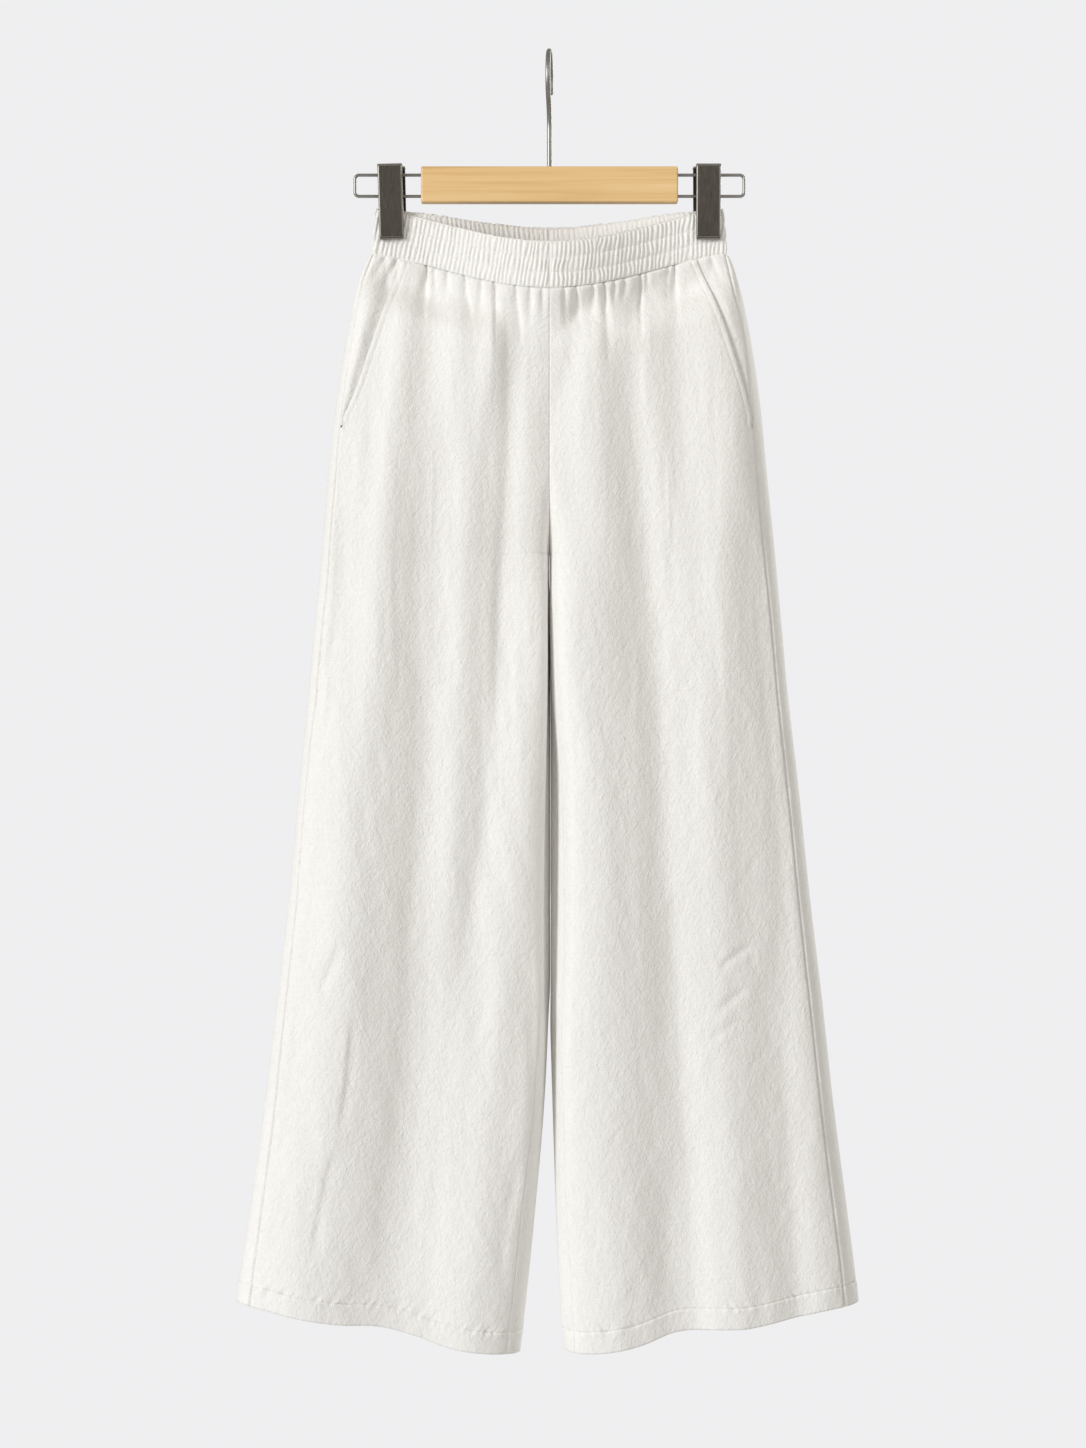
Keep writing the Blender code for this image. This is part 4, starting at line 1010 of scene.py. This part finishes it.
def add_block(made, size, middle, edge, place=None, segments=3):
    """A block with rounded edges, added to a bmesh."""
    block = bmesh.new()
    bmesh.ops.create_cube(block, size=1)
    bmesh.ops.scale(block, vec=size, verts=block.verts)
    bmesh.ops.bevel(block, geom=block.edges, offset=edge, segments=segments, profile=0.5, affect="EDGES")
    bmesh.ops.translate(block, vec=middle, verts=block.verts)
    if place is not None:
        bmesh.ops.transform(block, matrix=place, verts=block.verts)
    mesh = bpy.data.meshes.new("block")
    block.to_mesh(mesh)
    made.from_mesh(mesh)
    block.free()
    bpy.data.meshes.remove(mesh)


def paint_edge_highlight(made):
    """Gives the rounded edges that face outwards the second, lighter material: a painted highlight along the
    bevels.
    """
    made.normal_update()
    for face in made.faces:
        if max(abs(c) for c in face.normal) < 0.985:
            # the second material is lighter: painted highlight on the rounded edges
            face.material_index = 1


def from_bmesh(name, made, kind):
    bmesh.ops.scale(made, vec=(MM, MM, MM), verts=made.verts)
    mesh = bpy.data.meshes.new(name)
    made.to_mesh(mesh)
    made.free()
    mesh.polygons.foreach_set("use_smooth", np.ones(len(mesh.polygons), bool))
    mesh.materials.append(MATERIALS[kind])
    if kind == "clip":
        # second material: a lighter colour for the rounded edges, a painted highlight
        mesh.materials.append(MATERIALS["clip_edge"])
    piece = link(name, mesh)
    weld = piece.modifiers.new("Edges", "WEIGHTED_NORMAL")
    weld.keep_sharp = True
    return piece


def build_bar():
    made = bmesh.new()
    add_block(made, BAR, (0, 0, BAR_Z), 1.7, segments=4)
    finish_piece(from_bmesh("bar_wood", made, "wood"), "wood", "hanger_bar")


def folded_sheet(made, width, way, place):
    """The folded sheet of a jaw: a face with two flanges, from its top to its grip."""
    skin, edge, rows = 1.2, 1.5, []
    half = width / 2
    for share in (0.0, 0.25, 0.5, 0.75, 1.0):
        z = CLIP_TOP - 0.7 + (CLIP_LOW + 3.9 - CLIP_TOP) * share
        deep = CLIP_DEPTH[0] + (CLIP_DEPTH[1] - CLIP_DEPTH[0]) * share
        ring = []
        for inset, back in ((0.0, CLIP_INSIDE), (skin, CLIP_INSIDE)):
            r = edge - inset * 0.8
            arc = [(half - inset - r + r * math.sin(t), deep - inset - r + r * math.cos(t))
                   for t in np.linspace(0, math.pi / 2, 6)]
            line = [(half - inset, back)] + arc[::-1]
            line += [(-x, y) for x, y in line[::-1]]
            ring += line if not inset else line[::-1]
        rows.append([(x, way * y, z) for x, y in ring])
    sides = len(rows[0])
    verts = [[made.verts.new(place @ Vector(p)) for p in row] for row in rows]
    for a, b in zip(verts, verts[1:]):
        for k in range(sides):
            n = (k + 1) % sides
            made.faces.new((a[k], a[n], b[n], b[k]))
    for row in (verts[0], verts[-1]):
        for k in range(sides // 2 - 1):
            made.faces.new((row[k], row[k + 1], row[sides - 2 - k], row[sides - 1 - k]))


def build_clip(side):
    for layer, way in (("front", -1), ("back", 1)):
        width = CLIP_WIDTH[layer]
        x = CLIP_X[side] + (0.0 if layer == "front" else -SIDES[side] * 1.0)
        middle = (CLIP_TOP + CLIP_LOW) / 2
        turn = Matrix.Rotation(-math.radians(CLIP_LEAN[side]), 4, "Y")
        place = Matrix.Translation((x, 0, middle)) @ turn @ Matrix.Translation((0, 0, -middle))
        made = bmesh.new()
        folded_sheet(made, width, way, place)
        deep_top, deep_low = CLIP_DEPTH
        y = way * (deep_top + CLIP_INSIDE) / 2
        add_block(made, (width + 0.5, deep_top - CLIP_INSIDE + 0.5, 2.0), (0, y, CLIP_TOP - 1.0), 0.85, place)
        y = way * (deep_low + CLIP_INSIDE) / 2
        add_block(made, (width, deep_low - CLIP_INSIDE + 0.6, 2.8), (0, y, CLIP_LOW + 1.4), 0.7, place)
        bmesh.ops.recalc_face_normals(made, faces=made.faces)
        # lighter material on the rounded edges: painted highlight
        paint_edge_highlight(made)
        piece = from_bmesh(f"jaw_{side}_{layer}", made, "clip")
        finish_piece(piece, "clip", f"clip_{side}_{layer}")


# ---- materials ----


class Nodes:
    """Short ways to add nodes and links to a material."""

    def __init__(self, name):
        self.material = bpy.data.materials.new(name)
        self.material.use_nodes = True
        self.tree = self.material.node_tree
        self.shader = self.tree.nodes["Principled BSDF"]

    def add(self, kind, **settings):
        node = self.tree.nodes.new(kind)
        for key, value in settings.items():
            if key in node.inputs:
                node.inputs[key].default_value = value
            else:
                setattr(node, key, value)
        return node

    def link(self, source, target):
        self.tree.links.new(source, target)

    def scaled(self, source, scale):
        mapping = self.add("ShaderNodeMapping")
        mapping.inputs["Scale"].default_value = scale
        self.link(source, mapping.inputs["Vector"])
        return mapping.outputs["Vector"]

    def turned(self, source, angle, scale):
        turn = self.add("ShaderNodeMapping")
        turn.inputs["Rotation"].default_value = (0, 0, angle)
        self.link(source, turn.inputs["Vector"])
        return self.scaled(turn.outputs["Vector"], scale)

    def noise(self, vector, scale=1.0, detail=2.0, roughness=0.5, distortion=0.0):
        node = self.add("ShaderNodeTexNoise", Scale=scale, Detail=detail, Roughness=roughness,
                        Distortion=distortion)
        self.link(vector, node.inputs["Vector"])
        return node.outputs["Fac"]

    def math(self, operation, a, b):
        node = self.add("ShaderNodeMath", operation=operation)
        for slot, value in zip(node.inputs, (a, b)):
            if hasattr(value, "is_output"):
                self.link(value, slot)
            else:
                slot.default_value = value
        return node.outputs[0]

    def ramp(self, factor, *stops):
        node = self.add("ShaderNodeValToRGB")
        band = node.color_ramp
        while len(band.elements) < len(stops):
            band.elements.new(0.5)
        for element, (place, colour) in zip(band.elements, stops):
            element.position = place
            element.color = (*colour, 1.0)
        self.link(factor, node.inputs["Fac"])
        return node.outputs["Color"]

    def bump(self, height, strength, distance, normal=None):
        node = self.add("ShaderNodeBump", Strength=strength, Distance=distance)
        self.link(height, node.inputs["Height"])
        if normal is not None:
            self.link(normal, node.inputs["Normal"])
        return node.outputs["Normal"]

    def finish(self, colour=None, roughness=None, normal=None, **constants):
        for key, value in (("Base Color", colour), ("Roughness", roughness), ("Normal", normal)):
            if value is None:
                continue
            if hasattr(value, "is_output"):
                self.link(value, self.shader.inputs[key])
            else:
                self.shader.inputs[key].default_value = value
        for key, value in constants.items():
            self.shader.inputs[key.replace("_", " ")].default_value = value
        return self.material


def cloth_material():
    n = Nodes("cloth")
    uv = n.add("ShaderNodeUVMap", uv_map="Cloth").outputs["UV"]
    # Threads run along both directions of the cloth, some of them thicker
    slub_down = n.noise(n.scaled(uv, (1500, 60, 1)), 1.0, 2.0)
    slub_across = n.noise(n.scaled(uv, (50, 1300, 1)), 1.0, 2.0)
    warp = n.add("ShaderNodeTexWave", wave_type="BANDS", bands_direction="X", Scale=1.0)
    n.link(n.scaled(uv, (310, 310, 1)), warp.inputs["Vector"])
    weft = n.add("ShaderNodeTexWave", wave_type="BANDS", bands_direction="Y", Scale=1.0)
    n.link(n.scaled(uv, (310, 310, 1)), weft.inputs["Vector"])
    weave = n.math("MULTIPLY", warp.outputs["Fac"], weft.outputs["Fac"])
    crepe = n.noise(n.turned(uv, 0.5, (330, 120, 1)), 1.0, 4.0, 0.6, 0.7)
    crepe_back = n.noise(n.turned(uv, -0.45, (300, 120, 1)), 1.0, 4.0, 0.6, 0.7)
    cloudy = n.noise(n.scaled(uv, (14, 6, 1)), 1.0, 3.0)
    slubs = n.math("ADD", slub_down, slub_across)
    tone = n.math("ADD", n.math("MULTIPLY", slubs, 0.42), n.math("MULTIPLY", cloudy, 0.2))
    colour = n.ramp(tone, (0.30, (0.825, 0.807, 0.775)), (0.62, (0.893, 0.882, 0.860)),
                    (0.80, (0.920, 0.911, 0.892)))
    normal = n.bump(n.math("ADD", crepe, crepe_back), 1.0, 0.0008)
    normal = n.bump(slubs, 0.35, 0.00025, normal)
    normal = n.bump(weave, 0.25, 0.00012, normal)
    roughness = n.math("ADD", n.math("MULTIPLY", slubs, 0.12), 0.55)
    return n.finish(colour, roughness, normal, Sheen_Weight=0.15, Sheen_Roughness=0.45,
                    Specular_IOR_Level=0.35)


def thread_material():
    n = Nodes("thread")
    place = n.add("ShaderNodeTexCoord").outputs["Object"]
    twist = n.noise(n.scaled(place, (3000, 3000, 3000)), 1.0, 2.0)
    colour = n.ramp(twist, (0.3, (0.74, 0.72, 0.68)), (0.7, (0.88, 0.87, 0.84)))
    return n.finish(colour, 0.5, n.bump(twist, 0.4, 0.0002), Sheen_Weight=0.1)


def wood_material():
    n = Nodes("wood")
    place = n.add("ShaderNodeTexCoord").outputs["Object"]
    bend = n.noise(n.scaled(place, (6, 30, 40)), 1.0, 3.0)
    grain = n.noise(n.scaled(place, (9, 260, 520)), 1.0, 4.0, 0.6, 0.6)
    rings = n.noise(n.scaled(place, (2.5, 90, 130)), 1.0, 3.0, 0.5, 1.2)
    pores = n.noise(n.scaled(place, (60, 1600, 2200)), 1.0, 2.0)
    mix = n.math("ADD", n.math("MULTIPLY", rings, 0.6), n.math("MULTIPLY", grain, 0.3))
    mix = n.math("ADD", mix, n.math("MULTIPLY", bend, 0.1))
    colour = n.ramp(mix, (0.30, (0.64, 0.39, 0.15)), (0.50, (0.80, 0.53, 0.235)), (0.72, (0.87, 0.62, 0.32)))
    normal = n.bump(pores, 0.15, 0.0002)
    roughness = n.math("ADD", n.math("MULTIPLY", grain, 0.15), 0.34)
    return n.finish(colour, roughness, normal, Coat_Weight=0.2, Coat_Roughness=0.3)


def metal_material(name, dark, light, roughness, scale, metallic):
    n = Nodes(name)
    place = n.add("ShaderNodeTexCoord").outputs["Object"]
    brush = n.noise(n.scaled(place, scale), 1.0, 3.0, 0.6)
    colour = n.ramp(brush, (0.3, dark), (0.7, light))
    rough = n.math("ADD", n.math("MULTIPLY", brush, 0.14), roughness)
    return n.finish(colour, rough, n.bump(brush, 0.06, 0.0002), Metallic=metallic)


def floor_material():
    n = Nodes("floor")
    place = n.add("ShaderNodeTexCoord").outputs["Object"]
    cloud = n.noise(n.scaled(place, (3, 3, 3)), 1.0, 2.0)
    colour = n.ramp(cloud, (0.3, (0.77, 0.77, 0.785)), (0.7, (0.80, 0.80, 0.81)))
    return n.finish(colour, 0.85)


MATERIALS = {
    "cloth": cloth_material(),
    "thread": thread_material(),
    "wood": wood_material(),
    "wire": metal_material("wire", (0.30, 0.29, 0.275), (0.36, 0.35, 0.335), 0.34, (60, 60, 60), 1.0),
    "clip": metal_material("clip", (0.085, 0.076, 0.066), (0.135, 0.122, 0.106), 0.32, (900, 900, 60), 0.75),
    # lighter colour for the clip's rounded edges: a painted highlight
    "clip_edge": metal_material(
        "clip_edge", (0.24, 0.225, 0.20), (0.36, 0.34, 0.31), 0.3, (900, 900, 900), 0.7),
    "core": metal_material("core", (0.03, 0.03, 0.03), (0.07, 0.065, 0.06), 0.4, (500, 500, 500), 0.3),
    "floor": floor_material(),
}


# ---- light, floor and camera ----


def add_camera():
    data = bpy.data.cameras.new("Camera")
    data.lens = LENS
    data.sensor_width = 36.0
    data.sensor_fit = "AUTO"
    data.clip_end = 50
    camera = link("Camera", data)
    camera.location = Vector(CAMERA_AT) * MM
    camera.rotation_euler = (math.pi / 2, 0, 0)
    bpy.context.scene.camera = camera


def add_light(name, at, look, size, power, colour):
    data = bpy.data.lights.new(name, "AREA")
    data.shape = "RECTANGLE"
    data.size, data.size_y = size
    data.energy = power
    data.color = colour
    light = link(name, data)
    light.location = at
    light.visible_camera = False
    light.rotation_euler = (Vector(look) - Vector(at)).to_track_quat("-Z", "Y").to_euler()


def add_world():
    world = bpy.data.worlds.new("Studio")
    bpy.context.scene.world = world
    world.use_nodes = True
    tree = world.node_tree
    shown = tree.nodes["Background"]
    shown.inputs["Color"].default_value = (*BACKDROP, 1)
    fill = tree.nodes.new("ShaderNodeBackground")
    fill.inputs["Color"].default_value = (*FILL, 1)
    pick = tree.nodes.new("ShaderNodeMixShader")
    path = tree.nodes.new("ShaderNodeLightPath")
    tree.links.new(path.outputs["Is Camera Ray"], pick.inputs["Fac"])
    tree.links.new(fill.outputs["Background"], pick.inputs[1])
    tree.links.new(shown.outputs["Background"], pick.inputs[2])
    tree.links.new(pick.outputs["Shader"], tree.nodes["World Output"].inputs["Surface"])


def add_floor():
    mesh = bpy.data.meshes.new("floor")
    around = [(1.4 * math.cos(t), 1.4 * math.sin(t), -1.55) for t in np.linspace(0, 2 * math.pi, 97)[:-1]]
    mesh.from_pydata(around, [], [tuple(range(96))])
    mesh.materials.append(MATERIALS["floor"])
    link("floor", mesh)


bpy.context.scene.view_settings.view_transform = "Standard"
add_world()
for light_name, light_settings in LIGHTS.items():
    add_light(light_name, *light_settings)
add_floor()
add_camera()

build_bar()
build_hook()
for part_side in SIDES:
    build_wire(part_side)
    build_clip(part_side)
    build_clothes(part_side)
    core = bpy.data.objects[f"clip_{part_side}_core"]
    core.data.materials.clear()
    core.data.materials.append(MATERIALS["core"])
